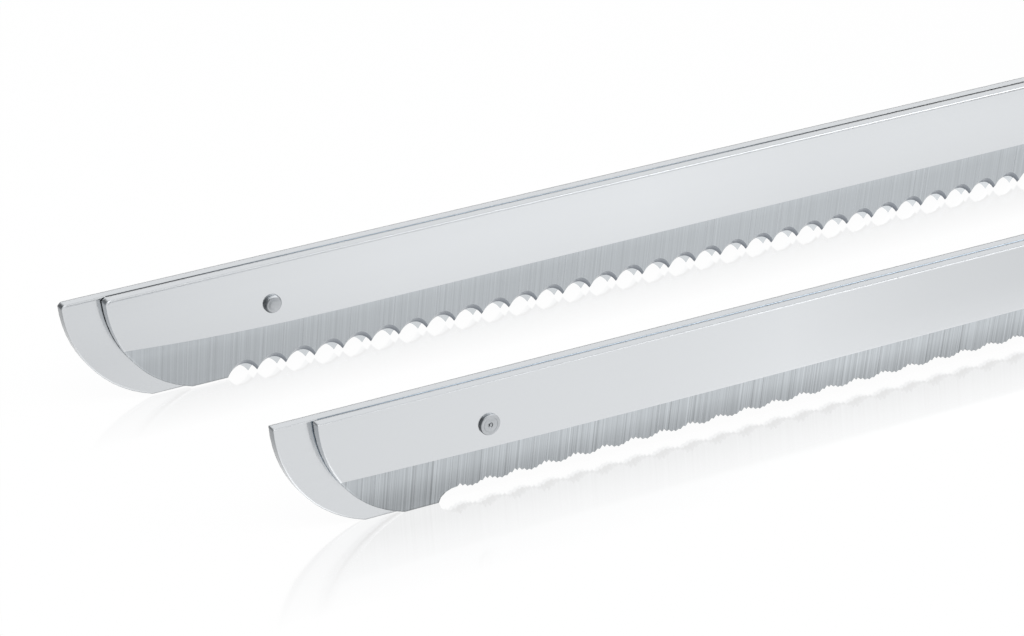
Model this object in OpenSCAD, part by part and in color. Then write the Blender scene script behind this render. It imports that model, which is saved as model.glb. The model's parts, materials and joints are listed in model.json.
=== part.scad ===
// Electric carving knife with its coarse blade set fitted and a fine-toothed spare set beside it.
// Lengths are in millimetres. X runs from the blade tips to the back of the handle, Y to the
// knife's right and Z up. The origin is on the table, under the axle of the worm wheel.

/* [Blades] */
// Reach of the right carving blade in front of the nose
blade_reach = 215; // [205:1:230]
// Thickness of one blade
blade_t = 1.6; // [1.4:0.1:1.8]
// Gap between the two blades of a set
blade_gap = 0.3; // [0.2:0.05:0.4]
// Height of a blade from belly to spine
blade_h = 18.2; // [17.5:0.1:19]
// Radius of the rounded tip
tip_r = 20.3; // [19.5:0.1:21]
// Height of the tip arc's centre above the spine
tip_over = 1.25; // [0.5:0.05:2]
// Nipped corner at the top of a carving blade's tip
tip_nip = 0.6; // [0.5:0.1:2]
// Thickness left along the cutting edge
edge_t = 0.45; // [0.3:0.05:0.6]
// Plain belly of a carving blade, from the tip to the first scallop
plain_tip = 20.8; // [19:0.1:22]
// Clearance under the belly of the fitted set
carving_lift = 0.3; // [0.1:0.1:0.6]

/* [Coarse teeth] */
// Polished height above the ground bevel of a carving blade
carving_polish = 10.6; // [9:0.1:12]
// Rise of the bevel's upper line at the tip of a carving blade
carving_rise = 1.9; // [0.5:0.1:2.5]
// Distance from one cusp to the next
scallop_pitch = 5; // [4.6:0.1:5.4]
// Depth of a scallop on the flat inner face
scallop_depth = 1.55; // [1.2:0.05:2]
// Tilt of the scallops' cut, rising towards the outer face, in degrees
scallop_tilt = 50; // [20:5:60]

/* [Fine teeth] */
// Polished height above the ground bevel of a fine-toothed blade
fine_polish = 11; // [9:0.1:12]
// Rise of the bevel's upper line at the tip of a fine-toothed blade
fine_line_rise = 1; // [0.5:0.1:2]
// Plain belly of a fine-toothed blade, from the tip to the first wave
fine_plain_tip = 20.1; // [19:0.1:22]
// Height of the fine teeth above the belly
fine_rise = 1.5; // [1.2:0.1:2]
// Distance from one wave to the next
wave_pitch = 5; // [4.6:0.1:5.4]
// Depth of a wave
wave_depth = 0.6; // [0.4:0.1:1]
// Depth of one small tooth
nick_depth = 0.25; // [0.15:0.05:0.35]
// Small teeth in one wave
nicks_per_wave = 6; // [4:1:8]
// How much deeper the small teeth are cut at a wave's crest
crest_depth = 0.35; // [0:0.05:0.5]

/* [Rivets] */
// Distance of the rivet behind the left blade's tip
rivet_back = 27.9; // [26:0.1:29]
// Distance of the rivet below the spine
rivet_drop = 6.8; // [6:0.1:7.5]
// Radius of the rivet's neck
rivet_r = 1; // [0.9:0.05:1.2]
// Radius of the rivet's heads
rivet_head_r = 1.65; // [1.55:0.05:1.75]
// Height of the carving rivet's domed outer head
rivet_head_h = 0.75; // [0.5:0.05:1]
// Height of the spare rivet's flat outer head
flat_head_h = 0.45; // [0.3:0.05:0.8]
// Thickness of the flange behind the right blade
rivet_flange_t = 0.6; // [0.4:0.05:0.8]

/* [Shanks] */
// Height of the steel tongue
tongue_h = 6; // [5:0.1:7]
// Height of the moulded shank
shank_h = 9; // [8.5:0.1:9.5]
// Reach of the shank to the side of the set's middle
shank_reach = 5.5; // [5:0.1:5.6]
// Length of the shank behind the blade's heel
shank_l = 42; // [40:0.5:43]
// Length of the guard at the blade's heel
guard_l = 16; // [12:0.5:18]
// Reach of the guard to the side
guard_reach = 7.5; // [6.5:0.1:9]
// Height of the guard
guard_h = 15; // [13:0.1:16]
// Radius of the pegs that hold the tongue
peg_r = 1.3; // [1:0.1:1.6]

/* [Blade drive] */
// Distance each blade travels
stroke = 6.4; // [6:0.1:7]
// Distance from the axle to the nose face
nose_ahead = 55; // [54:0.5:58]
// Height of the worm wheel's axle
wheel_z = 22; // [21.8:0.1:22.2]
// Teeth on the worm wheel
wheel_teeth = 24; // [24:1:24]
// Pitch radius of the worm wheel
wheel_r = 12.6; // [12.4:0.1:12.7]
// Width of the toothed rim
rim_w = 4; // [3:0.1:4.4]
// Pitch radius of the worm
worm_r = 3.5; // [3.5:0.05:3.6]
// Length of the worm
worm_l = 18; // [14:0.5:20]
// Radius of the eccentric discs
cam_r = 6.5; // [6:0.1:6.8]
// Wall of a carrier yoke beside its window
yoke_wall = 3.6; // [3:0.1:4]
// Radius of the wheel axle
axle_r = 2; // [1.8:0.05:2.1]

/* [Motor] */
// Radius of the motor shaft
shaft_r = 2; // [1.9:0.05:2]
// Radius of the stator
stator_r = 17; // [16:0.1:17.3]
// Length of the stator's laminated core
stator_l = 44; // [38:0.5:46]
// Radius of the armature
armature_r = 9.6; // [9:0.1:9.8]
// Radius of the commutator
commutator_r = 8.5; // [8:0.1:8.8]
// Radius of the cooling fan
fan_r = 14; // [12:0.1:14.5]
// Outer radius of the three bearings
bearing_r = 5; // [4.6:0.1:5.2]
// Width of the three bearings
bearing_w = 4.5; // [4:0.1:4.6]

/* [Trigger and buttons] */
// Distance of the trigger pin behind the axle
trigger_x = 70; // [69:0.5:71]
// Height of the trigger pin
trigger_z = 12.4; // [12:0.1:12.6]
// Width of the trigger
trigger_w = 12; // [10:0.1:12.4]
// Radius of the trigger pin
trigger_pin_r = 1.5; // [1.3:0.05:1.6]
// Distance of the release buttons ahead of the axle
button_ahead = 35; // [34.6:0.1:35.4]
// Radius of a release button's stem
button_stem_r = 2.2; // [1.9:0.05:2.3]
// Travel of the lock slider
lock_travel = 6; // [5:0.1:6]

/* [Handle] */
// Length of the housing
handle_l = 211; // [210:0.5:213]
// Height of the housing
handle_h = 62.5; // [62:0.1:64]
// Width of the housing
handle_w = 46; // [45.5:0.1:48]
// Height of the trigger arch above the table
arch_h = 17; // [16.9:0.05:17.2]
// Wall thickness of the housing
wall = 2.2; // [2:0.05:2.3]
// Thickness of the rubber feet
foot_t = 1; // [0.9:0.05:1.2]
// Radius of the cord inlet's bore
cord_r = 3.5; // [3:0.1:4]

/* [Spare set] */
// Distance of the spare set from the fitted one
spare_side = 51.7; // [50:0.1:60]
// Distance the spare set stands behind the fitted one
spare_back = 9.2; // [0:0.1:20]
// Distance between the two tips of the spare set
spare_offset = 6.1; // [6:0.1:6.4]

/* [Hidden] */

// Overrun of every cut, and the thickness of a slice that only carries an outline
cut = 1;
sliver = 0.02;
// Play between a shaft and its hole, and between pieces that slide
run_play = 0.05;
slide_play = 0.3;
fit_play = 0.1;

// Blade sets, measured from the left blade's tip with the belly at zero
outer_y = blade_gap / 2 + blade_t;
nose_x = -nose_ahead;
right_tip_x = nose_x - blade_reach;
left_tip_x = right_tip_x + stroke;
heel_ahead = 3;
heel_x = nose_x - heel_ahead;
steel_l = heel_x - left_tip_x;
tongue_l = shank_l - 2;
tongue_z = 10.6;
drive_z = carving_lift + tongue_z;
guard_margin = 3;
scallop_sink = scallop_depth * cos(scallop_tilt);
cusp_land = 0.1;
scallop_r = (pow((scallop_pitch - cusp_land) / 2, 2) + pow(scallop_sink, 2)) / (2 * scallop_sink);
teeth_room = steel_l - guard_l - guard_margin - plain_tip;
scallops = floor(teeth_room / scallop_pitch);
waves = floor(teeth_room / wave_pitch);
grind_steps = 8;
carving_line_l = 40;
fine_line_l = 70;
first_wave_l = 3;
slot_front = 7.8;
slot_rear = 1.4;
key_x = 6;
slot_play = 0.15;
dome_share = 0.9;
key_play = 0.3;
peg_places = [14, 34];
tooth_x = 23;
tooth_l = 4;
tooth_out = 1.8;
tooth_h = 5;
spare_left_tip_x = right_tip_x + spare_back + spare_offset;

// Carriers, guide and gear frame
ecc = stroke / 2;
carrier_wall = 2;
carrier_end = 1;
carrier_lip = 1.6;
carrier_out = shank_reach + carrier_wall;
carrier_h = shank_h + 2 * carrier_lip;
carrier_front = heel_x + 12;
carrier_rear = heel_x + shank_l + carrier_end;
cam_play = 0.1;
window_x = cam_r + cam_play;
window_z = cam_r + ecc + 0.35;
yoke_z = window_z + yoke_wall;
cam_y = 3.9;
yoke_y = cam_y + slide_play;
guide_wall = 1.6;
guide_l = 20;
guide_x = carrier_front + stroke / 2 - 1.15;
guide_in_y = carrier_out + slide_play;
guide_in_h = carrier_h + 2 * slide_play;
guide_out_y = guide_in_y + guide_wall;
guide_out_h = guide_in_h + 2 * guide_wall;
guide_rear = guide_x + guide_l;
frame_t = 2.5;
frame_in_y = carrier_out + 0.7;
frame_out_y = frame_in_y + frame_t;
motor_z = wheel_z + wheel_r + worm_r;
frame_bottom = drive_z - 6;
frame_top = motor_z + bearing_r + 0.9;
frame_rear = ecc + window_x + yoke_wall + 0.85;
front_bearing_x = frame_front_x() - 0;
function frame_front_x() = -(ecc + window_x + yoke_wall + 6.65);
holder_wall = 1.5;

// Motor, from front to back along its shaft
fan_x = frame_rear + bearing_w + 1.3;
fan_l = 9;
coil_l = 4.5;
coil_gap = 2.5;
stator_x = fan_x + fan_l + coil_gap + coil_l;
commutator_x = stator_x + stator_l + coil_l + 7.5;
commutator_l = 12;
rear_bearing_x = commutator_x + commutator_l + 4;
shaft_front = front_bearing_x;
shaft_rear = rear_bearing_x + bearing_w + 1;
air_gap = 0.6;
core_slots = 12;
bar_slots = 16;
fan_blades = 9;
brush_s = 5.8;
brush_x = commutator_x + commutator_l / 2;
holder_s = brush_s + 2 * fit_play + 1.6;

// Trigger, switch and buttons
trigger_reach = 47;
trigger_drop_shares = [0.516, 0.58, 0.63, 0.597, 0.468, 0.306, 0.226];
trigger_along_shares = [1, 0.85, 0.68, 0.51, 0.34, 0.17, 0.04];
trigger_rise_shares = [0.2, 0.18, 0.145, 0.048, -0.11, -0.258, -0.29, -0.29];
trigger_back_shares = [0.04, 0.17, 0.34, 0.51, 0.64, 0.77, 0.87, 1];
trigger_boss_r = trigger_pin_r + 1.5;
pocket_x = trigger_x - 16;
pocket_z = trigger_z - 2.2;
pocket_r = 2.9;
ear_t = 2;
plunger_x = frame_rear + bearing_w + 6.3;
plunger_r = 1.4;
plunger_z = trigger_z - 3.6 + slide_play;
plunger_l = 5.7;
plunger_travel = 2.5;
switch_l = 12.3;
switch_w = 9;
switch_z = plunger_z + 2.7;
switch_h = 7.2;
button_x = -button_ahead;
button_travel = 2;
stem_y = guide_out_y + 0.5;
flange_y = stem_y + 2.7;
flange_t = 1.2;
flange_s = 10;
cap_l = 11;
cap_h = 8;
cap_y = flange_y + flange_t;
cap_proud = 1.8;
lock_x = 50;
lock_l = 16;
lock_w = 14;
lock_h = 3;
lock_stem_l = 6;
lock_stem_w = 4;
lock_plate_l = 11;
lock_plate_t = 1.2;
trigger_slot_z = 3.2;
trigger_slot_h = 13.4;

// Housing: the bay over drive, trigger and motor takes its length from them, and the tail behind
// it takes the rest. A station is a share of the length, with the bay's end at row bay_rows.
collar_l = 8;
housing_front = nose_x + collar_l;
housing_rear = housing_front + handle_l;
rows = 27;
bay_rows = 21;
half_cols = 14;
bay_play = 4.56;
bay_l = rear_bearing_x + bearing_w + bay_play - housing_front;
tail_l = handle_l - bay_l;
function station(s) =
    s * rows < bay_rows
        ? housing_front + s * rows / bay_rows * bay_l
        : housing_front + bay_l + (s * rows - bay_rows) / (rows - bay_rows) * tail_l;

// Housing sections: station, share of the arch's height for the underside, share of the height
// for the top, share of the width for the half width, and the section's squareness as an exponent
section_shares = [
    [0, 0.0368, 0.43, 0.35, 5],
    [0.12, 0.011, 0.768, 0.41, 4],
    [0.235, 0.011, 0.89, 0.48, 3.4],
    [0.355, 0.011, 0.97, 0.5, 3],
    [0.44, 1, 0.993, 0.485, 2.7],
    [0.58, 1.011, 1, 0.467, 2.6],
    [0.725, 1, 0.985, 0.467, 2.7],
    [0.83, 0.011, 0.93, 0.49, 3],
    [0.93, 0.011, 0.82, 0.467, 3],
    [1, 0.294, 0.7, 0.4, 3]
];
keys = [
    for (s = section_shares)
        [station(s[0]), s[1] * arch_h, s[2] * handle_h, s[3] * handle_w, s[4]]
];
inner_y = handle_w * 0.467 - wall - 0.5;
boss_r = 4.2;
screw_r = 1.4;
screw_head_r = 2.8;
screw_head_h = 2;
screw_sink = 4;
screw_bite = 10;
// Screws: station, then shares of the arch's height and of the handle's height
screw_shares = [
    [0.0616, 1.4412, 0], [0.2322, 0, 0.7792], [0.6825, 1.4471, 0], [0.8104, 0.7059, 0],
    [0.9336, 0, 0.672]
];
screw_places = [for (s = screw_shares) [station(s[0]), s[1] * arch_h + s[2] * handle_h]];
trim_t = 0.7;
pad_t = 1.2;
foot_w = 16;
foot_r = 4;
front_foot_shares = [0.05213, 0.31754];
rear_foot_shares = [0.84834, 0.94313];
rib_t = 2.4;
rib_in = 8;
rib_h = 5;
collar_face_in = 3;
collar_edge_in = 1.4;
collar_round = 1.5;
rear_cap_l = 6.5;
rear_round = 2.5;
rear_edge_in = 1.6;
rear_face_in = 5;
inlet_r = 6;
inlet_sink = 6;
inlet_x = housing_rear - inlet_sink;
inlet_l = 16;
inlet_z = 28;
inlet_flange = 2;
inlet_rim = 1.5;
vent_w = 1.8;
vent_h = 14;
fan_vent_drop = 6.1;
wire_r = 0.9;

// Interpolation between the section keys that never overshoots them
function key_before(x, i = 0) = i >= len(keys) - 2 || x < keys[i + 1][0] ? i : key_before(x, i + 1);
function rise(i, j) = (keys[i + 1][j] - keys[i][j]) / (keys[i + 1][0] - keys[i][0]);
function slope(i, j) =
    i == 0 || i == len(keys) - 1 || rise(i - 1, j) * rise(i, j) <= 0
        ? 0
        : 2 * rise(i - 1, j) * rise(i, j) / (rise(i - 1, j) + rise(i, j));
function at(x, j) =
    let (
        i = key_before(x),
        d = keys[i + 1][0] - keys[i][0],
        t = min(max((x - keys[i][0]) / d, 0), 1)
    )
    (1 + 2 * t) * pow(1 - t, 2) * keys[i][j] + t * pow(1 - t, 2) * d * slope(i, j)
        + t * t * (3 - 2 * t) * keys[i + 1][j] + t * t * (t - 1) * d * slope(i + 1, j);
function row_places(row0, row1) = [for (r = [row0:row1]) station(r / rows)];
function under(x) = at(x, 1);
function crest(x) = at(x, 2);
function power(v, p) = sign(v) * pow(abs(v), p);
function skin_point(x, turn, lift) =
    let (p = 2 / at(x, 4))
    [
        x,
        (at(x, 3) + lift) * power(cos(turn), p),
        (crest(x) + under(x)) / 2 + ((crest(x) - under(x)) / 2 + lift) * power(sin(turn), p)
    ];
function skin_y(x, z) =
    let (m = (crest(x) + under(x)) / 2, h = (crest(x) - under(x)) / 2, n = at(x, 4))
    at(x, 3) * pow(1 - pow(abs((z - m) / h), n), 1 / n);

// Helpers
function triangles(quads) = [for (q = quads) each [[q[0], q[1], q[2]], [q[0], q[2], q[3]]]];

// A patch of the housing's skin between two lifts from its surface, with a row at each of xs
module skin(xs, turn0, turn1, low, high, cols) {
    last = len(xs) - 1;
    function id(side, r, c) = (side * (last + 1) + r) * (cols + 1) + c;
    points = [
        for (side = [0, 1]) for (x = xs) for (c = [0:cols])
            skin_point(x, turn0 + (turn1 - turn0) * c / cols, side == 0 ? low : high)
    ];
    sheets = [
        for (r = [0:last - 1]) for (c = [0:cols - 1]) each [
            [id(1, r, c), id(1, r + 1, c), id(1, r + 1, c + 1), id(1, r, c + 1)],
            [id(0, r, c), id(0, r, c + 1), id(0, r + 1, c + 1), id(0, r + 1, c)]
        ]
    ];
    ends = [
        for (c = [0:cols - 1]) each [
            [id(1, 0, c), id(1, 0, c + 1), id(0, 0, c + 1), id(0, 0, c)],
            [id(1, last, c + 1), id(1, last, c), id(0, last, c), id(0, last, c + 1)]
        ]
    ];
    sides = [
        for (r = [0:last - 1]) each [
            [id(1, r + 1, 0), id(1, r, 0), id(0, r, 0), id(0, r + 1, 0)],
            [id(1, r, cols), id(1, r + 1, cols), id(0, r + 1, cols), id(0, r, cols)]
        ]
    ];
    polyhedron(points, triangles(concat(sheets, ends, sides)), convexity = 8);
}

// A thin slice with the housing's outline at one station, moved to x
module slice(station, x, lift) {
    translate([x, 0, 0])
        rotate([90, 0, 90])
            linear_extrude(sliver)
                polygon([
                    for (k = [0:2 * half_cols - 1])
                        let (p = skin_point(station, 180 * k / half_cols, lift)) [p[1], p[2]]
                ]);
}

// A cylinder along X or along Y
module rod_x(x, r, l, y = 0, z = 0) {
    translate([x, y, z]) rotate([0, 90, 0]) cylinder(r = r, h = l, $fn = 64);
}

module rod_y(y, r, l, x = 0, z = 0) {
    translate([x, y, z]) rotate([-90, 0, 0]) cylinder(r = r, h = l, $fn = 64);
}

// A box given by its lowest and highest corners
module block(low, high) {
    translate(low) cube(high - low);
}

module rounded(size, r) {
    hull()
        for (x = [r, size[0] - r]) for (y = [r, size[1] - r])
            translate([x, y]) circle(r = r, $fn = 32);
}

module both_sides() {
    children();
    mirror([0, 1, 0]) children();
}

// The right half of the drive at rest: the left one's mirror image, one stroke further forward
module right_drive() {
    translate([-stroke, 0, 0]) mirror([0, 1, 0]) children();
}

// A coil spring along +Z from the origin, as one tube of five sides
module coil(r, wire, l, turns) {
    per_turn = 9;
    sides = 5;
    rings = per_turn * turns;
    points = [
        for (i = [0:rings]) for (k = [0:sides - 1])
            let (a = 360 * i / per_turn, b = 360 * k / sides)
            [
                (r + wire * cos(b)) * cos(a), (r + wire * cos(b)) * sin(a),
                wire + (l - 2 * wire) * i / rings + wire * sin(b)
            ]
    ];
    tube = [
        for (i = [0:rings - 1]) for (k = [0:sides - 1])
            [
                i * sides + k, i * sides + (k + 1) % sides, (i + 1) * sides + (k + 1) % sides,
                (i + 1) * sides + k
            ]
    ];
    ends = [
        for (k = [1:sides - 2]) each [
            [0, k + 1, k],
            [rings * sides, rings * sides + k, rings * sides + k + 1]
        ]
    ];
    polyhedron(points, concat(triangles(tube), ends), convexity = 10);
}

// A wire of eight sides along a list of points
module wire_run(path) {
    sides = 8;
    last = len(path) - 1;
    function unit(v) = v / norm(v);
    function way(i) = unit(path[min(i + 1, last)] - path[max(i - 1, 0)]);
    points = [
        for (i = [0:last]) for (k = [0:sides - 1])
            let (
                w = way(i),
                u = unit(cross(w, [0, 0.3, 1])),
                v = cross(w, u),
                b = 360 * k / sides
            )
            path[i] + wire_r * (u * cos(b) + v * sin(b))
    ];
    tube = [
        for (i = [0:last - 1]) for (k = [0:sides - 1])
            [
                i * sides + k, (i + 1) * sides + k, (i + 1) * sides + (k + 1) % sides,
                i * sides + (k + 1) % sides
            ]
    ];
    ends = [
        for (k = [1:sides - 2]) each [
            [0, k, k + 1],
            [last * sides, last * sides + k + 1, last * sides + k]
        ]
    ];
    polyhedron(points, concat(triangles(tube), ends), convexity = 10);
}

// Blade outline with its round tip, seen from the left
module blade_outline() {
    intersection() {
        square([steel_l, blade_h]);
        union() {
            translate([tip_r, blade_h + tip_over]) circle(r = tip_r, $fn = 96);
            translate([tip_r, -2 * cut]) square([steel_l, blade_h + 3 * cut]);
        }
    }
    translate([steel_l - cut, tongue_z - tongue_h / 2]) square([tongue_l + cut, tongue_h]);
}

// One flat blade lying left of the set's middle plane, with the ground bevel on its outer face
module blade(polish, rise, reach) {
    difference() {
        translate([0, -blade_gap / 2, 0]) rotate([90, 0, 0]) linear_extrude(blade_t) blade_outline();
        bevel(blade_h - polish, rise, reach);
        for (x = peg_places) rod_y(-outer_y - cut, peg_r, blade_t + 2 * cut, steel_l + x, tongue_z);
    }
}

// The ground bevel. Its upper line lies level along the blade and rises over the last reach to the tip.
module bevel(top, rise, reach) {
    sides = 4;
    last = grind_steps + 1;
    stations = concat(
        [-cut],
        [for (k = [1:grind_steps]) reach * pow(k / grind_steps, 2)],
        [steel_l + cut]
    );
    points = [
        for (x = stations)
            let (
                line = top + rise * pow(max(1 - x / reach, 0), 2),
                lean = (blade_t - edge_t) / line
            )
            each [
                [x, -outer_y - cut, line], [x, -outer_y, line],
                [x, -blade_gap / 2 - edge_t + lean * cut, -cut], [x, -outer_y - cut, -cut]
            ]
    ];
    tube = [
        for (i = [0:last - 1]) for (k = [0:sides - 1])
            [
                i * sides + k, i * sides + (k + 1) % sides, (i + 1) * sides + (k + 1) % sides,
                (i + 1) * sides + k
            ]
    ];
    ends = [
        [0, 3, 2, 1],
        [last * sides, last * sides + 1, last * sides + 2, last * sides + 3]
    ];
    polyhedron(points, triangles(concat(tube, ends)), convexity = 6);
}

// Round cuts whose axes rise towards the outer face
module scallops() {
    middle = blade_t / 2;
    l = (blade_t + 2 * cut) / cos(scallop_tilt) + 2 * scallop_r * tan(scallop_tilt);
    for (i = [0:scallops - 1])
        translate([
            plain_tip + (i + 0.5) * scallop_pitch, -blade_gap / 2 - middle,
            scallop_depth - scallop_r / cos(scallop_tilt) + middle * tan(scallop_tilt)
        ])
            rotate([90 - scallop_tilt, 0, 0])
                cylinder(r = scallop_r, h = l, center = true, $fn = 64);
}

module waves() {
    n = nicks_per_wave;
    start = fine_plain_tip + first_wave_l;
    edge = [
        for (i = [0:waves - 1]) for (k = [0:2 * n - 1])
            let (p = (k / 2) / n)
            [
                start + (i + p) * wave_pitch,
                fine_rise + wave_depth * pow(cos(180 * p), 2)
                    + (k % 2) * (nick_depth + crest_depth * pow(cos(180 * p), 4))
            ]
    ];
    last = start + waves * wave_pitch;
    rotate([90, 0, 0])
        linear_extrude(outer_y + cut)
            polygon(concat(
                [[fine_plain_tip, -cut], [fine_plain_tip, 0]],
                [
                    for (a = [25, 50, 70])
                        [
                            start - first_wave_l * cos(a),
                            (fine_rise + wave_depth) * sin(a)
                        ]
                ],
                edge,
                [[last, fine_rise + wave_depth], [last + first_wave_l / 2, 0], [last + first_wave_l / 2, -cut]]
            ));
}

module rivet_hole(r) {
    rod_y(-outer_y - cut, r, blade_t + 2 * cut, rivet_back, blade_h - rivet_drop);
}

// Slot of the right blade, in that blade's own mirrored frame: from its tip, the rivet lies one
// offset further back than from the left blade's tip
module keyhole(offset) {
    z = blade_h - rivet_drop;
    rear = rivet_back + offset + slot_rear;
    front = rivet_back - slot_front;
    for (x = [front, rear]) rod_y(-outer_y - cut, rivet_r + slot_play, blade_t + 2 * cut, x, z);
    block(
        [front, -outer_y - cut, z - rivet_r - slot_play],
        [rear + key_x, -blade_gap / 2 + cut, z + rivet_r + slot_play]
    );
    rod_y(-outer_y - cut, rivet_head_r + key_play, blade_t + 2 * cut, rear + key_x, z);
}

module tip_corner() {
    translate([0, -blade_gap / 2 + cut, blade_h])
        rotate([90, 45, 0])
            translate([0, 0, (blade_t + 2 * cut) / 2])
                cube([tip_nip * sqrt(2), tip_nip * sqrt(2), blade_t + 2 * cut], center = true);
}

module coarse_blade() {
    difference() {
        blade(carving_polish, carving_rise, carving_line_l);
        scallops();
        tip_corner();
        children();
    }
}

module fine_blade() {
    difference() {
        blade(fine_polish, fine_line_rise, fine_line_l);
        waves();
        children();
    }
}

// Rivet of a set, from the left blade's tip: neck, flange behind the right blade and outer head
module rivet(domed) {
    z = blade_h - rivet_drop;
    flange_y = outer_y + slot_play;
    cap = rivet_head_h / 2;
    dome_head_r = dome_share * rivet_head_r;
    dome_r = (pow(dome_head_r, 2) + pow(cap, 2)) / (2 * cap);
    rod_y(-outer_y, rivet_r, 2 * outer_y + slot_play + rivet_flange_t, rivet_back, z);
    rod_y(flange_y, rivet_head_r, rivet_flange_t, rivet_back, z);
    if (domed) {
        rod_y(-outer_y - cap, dome_head_r, cap, rivet_back, z);
        intersection() {
            rod_y(-outer_y - 2 * cap, dome_head_r, 2 * cap, rivet_back, z);
            translate([rivet_back, -outer_y - 2 * cap + dome_r, z]) sphere(r = dome_r, $fn = 64);
        }
    } else {
        nub = flat_head_h / 4;
        rod_y(-outer_y - flat_head_h, rivet_head_r, flat_head_h, rivet_back, z);
        rod_y(-outer_y - flat_head_h - nub, rivet_head_r / 6, 2 * nub, rivet_back, z);
    }
}

// Moulded shank on the outer side of the tongue, with the guard in front of the nose
module shank() {
    difference() {
        union() {
            block(
                [steel_l, -shank_reach, tongue_z - shank_h / 2],
                [steel_l + shank_l, -blade_gap / 2, tongue_z + shank_h / 2]
            );
            guard();
            block(
                [steel_l + tooth_x, -carrier_out - tooth_out + 2, tongue_z - tooth_h / 2],
                [steel_l + tooth_x + tooth_l, -shank_reach + cut, tongue_z + tooth_h / 2]
            );
        }
        difference() {
            block(
                [steel_l - cut, -outer_y, tongue_z - tongue_h / 2],
                [steel_l + tongue_l, cut, tongue_z + tongue_h / 2]
            );
            for (x = peg_places) rod_y(-outer_y - cut, peg_r, outer_y + 2 * cut, steel_l + x, tongue_z);
        }
    }
}

module guard() {
    r = guard_l / 4;
    translate([steel_l - guard_l, -outer_y, tongue_z - guard_h / 2])
        rotate([90, 0, 0])
            linear_extrude(guard_reach - outer_y)
                rounded([guard_l, guard_h], r);
    block(
        [steel_l - r, -shank_reach, tongue_z - shank_h / 2],
        [steel_l + cut, -outer_y, tongue_z + shank_h / 2]
    );
}

module fitted_left() {
    translate([left_tip_x, 0, carving_lift]) children();
}

module fitted_right() {
    translate([right_tip_x, 0, carving_lift]) mirror([0, 1, 0]) children();
}

module spare_left() {
    translate([spare_left_tip_x, -spare_side, 0]) children();
}

module spare_right() {
    translate([spare_left_tip_x - spare_offset, -spare_side, 0]) mirror([0, 1, 0]) children();
}

module carving_blade_left() { color([0.84, 0.86, 0.88]) fitted_left() coarse_blade() rivet_hole(rivet_r); }
module carving_blade_right() { color([0.82, 0.84, 0.86]) fitted_right() coarse_blade() keyhole(stroke); }
module carving_rivet() { color([0.7, 0.72, 0.75]) fitted_left() rivet(true); }
module carving_shank_left() { color([0.16, 0.16, 0.17]) fitted_left() shank(); }
module carving_shank_right() { color([0.16, 0.16, 0.17]) fitted_right() shank(); }
module fine_blade_left() { color([0.84, 0.86, 0.88]) spare_left() fine_blade() rivet_hole(rivet_r); }
module fine_blade_right() { color([0.82, 0.84, 0.86]) spare_right() fine_blade() keyhole(spare_offset); }
module fine_rivet() { color([0.7, 0.72, 0.75]) spare_left() rivet(false); }
module fine_shank_left() { color([0.16, 0.16, 0.17]) spare_left() shank(); }
module fine_shank_right() { color([0.16, 0.16, 0.17]) spare_right() shank(); }

// Carrier of the left shank: a channel open to the middle, and a yoke round the eccentric disc
module carrier() {
    low = drive_z - carrier_h / 2;
    high = drive_z + carrier_h / 2;
    latch = heel_x + tooth_x;
    yoke_front = ecc - window_x - yoke_wall;
    yoke_rear = ecc + window_x + yoke_wall;
    difference() {
        block([carrier_front, -carrier_out, low], [carrier_rear, -blade_gap / 2, high]);
        block(
            [carrier_front - cut, -shank_reach, drive_z - shank_h / 2],
            [heel_x + shank_l, cut, drive_z + shank_h / 2]
        );
        block(
            [latch - fit_play, -carrier_out - cut, drive_z - tooth_h / 2 - fit_play],
            [latch + tooth_l + fit_play, -shank_reach + cut, drive_z + tooth_h / 2 + fit_play]
        );
    }
    block([carrier_rear - carrier_end, -carrier_out, wheel_z - yoke_z], [yoke_front + cut, -yoke_y, high]);
    difference() {
        block([yoke_front, -carrier_out, wheel_z - yoke_z], [yoke_rear, -yoke_y, wheel_z + yoke_z]);
        block(
            [ecc - window_x, -carrier_out - cut, wheel_z - window_z],
            [ecc + window_x, -yoke_y + cut, wheel_z + window_z]
        );
    }
}

module blade_carrier_left() { color([0.78, 0.78, 0.72]) carrier(); }
module blade_carrier_right() { color([0.78, 0.78, 0.72]) right_drive() carrier(); }

module carrier_guide() {
    color([0.62, 0.52, 0.3])
        difference() {
            block(
                [guide_x, -guide_out_y, drive_z - guide_out_h / 2],
                [guide_rear, guide_out_y, drive_z + guide_out_h / 2]
            );
            block(
                [guide_x - cut, -guide_in_y, drive_z - guide_in_h / 2],
                [guide_rear + cut, guide_in_y, drive_z + guide_in_h / 2]
            );
            rod_y(-guide_out_y - cut, button_stem_r + 0.4, 2 * (guide_out_y + cut), button_x, drive_z);
        }
}

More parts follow.
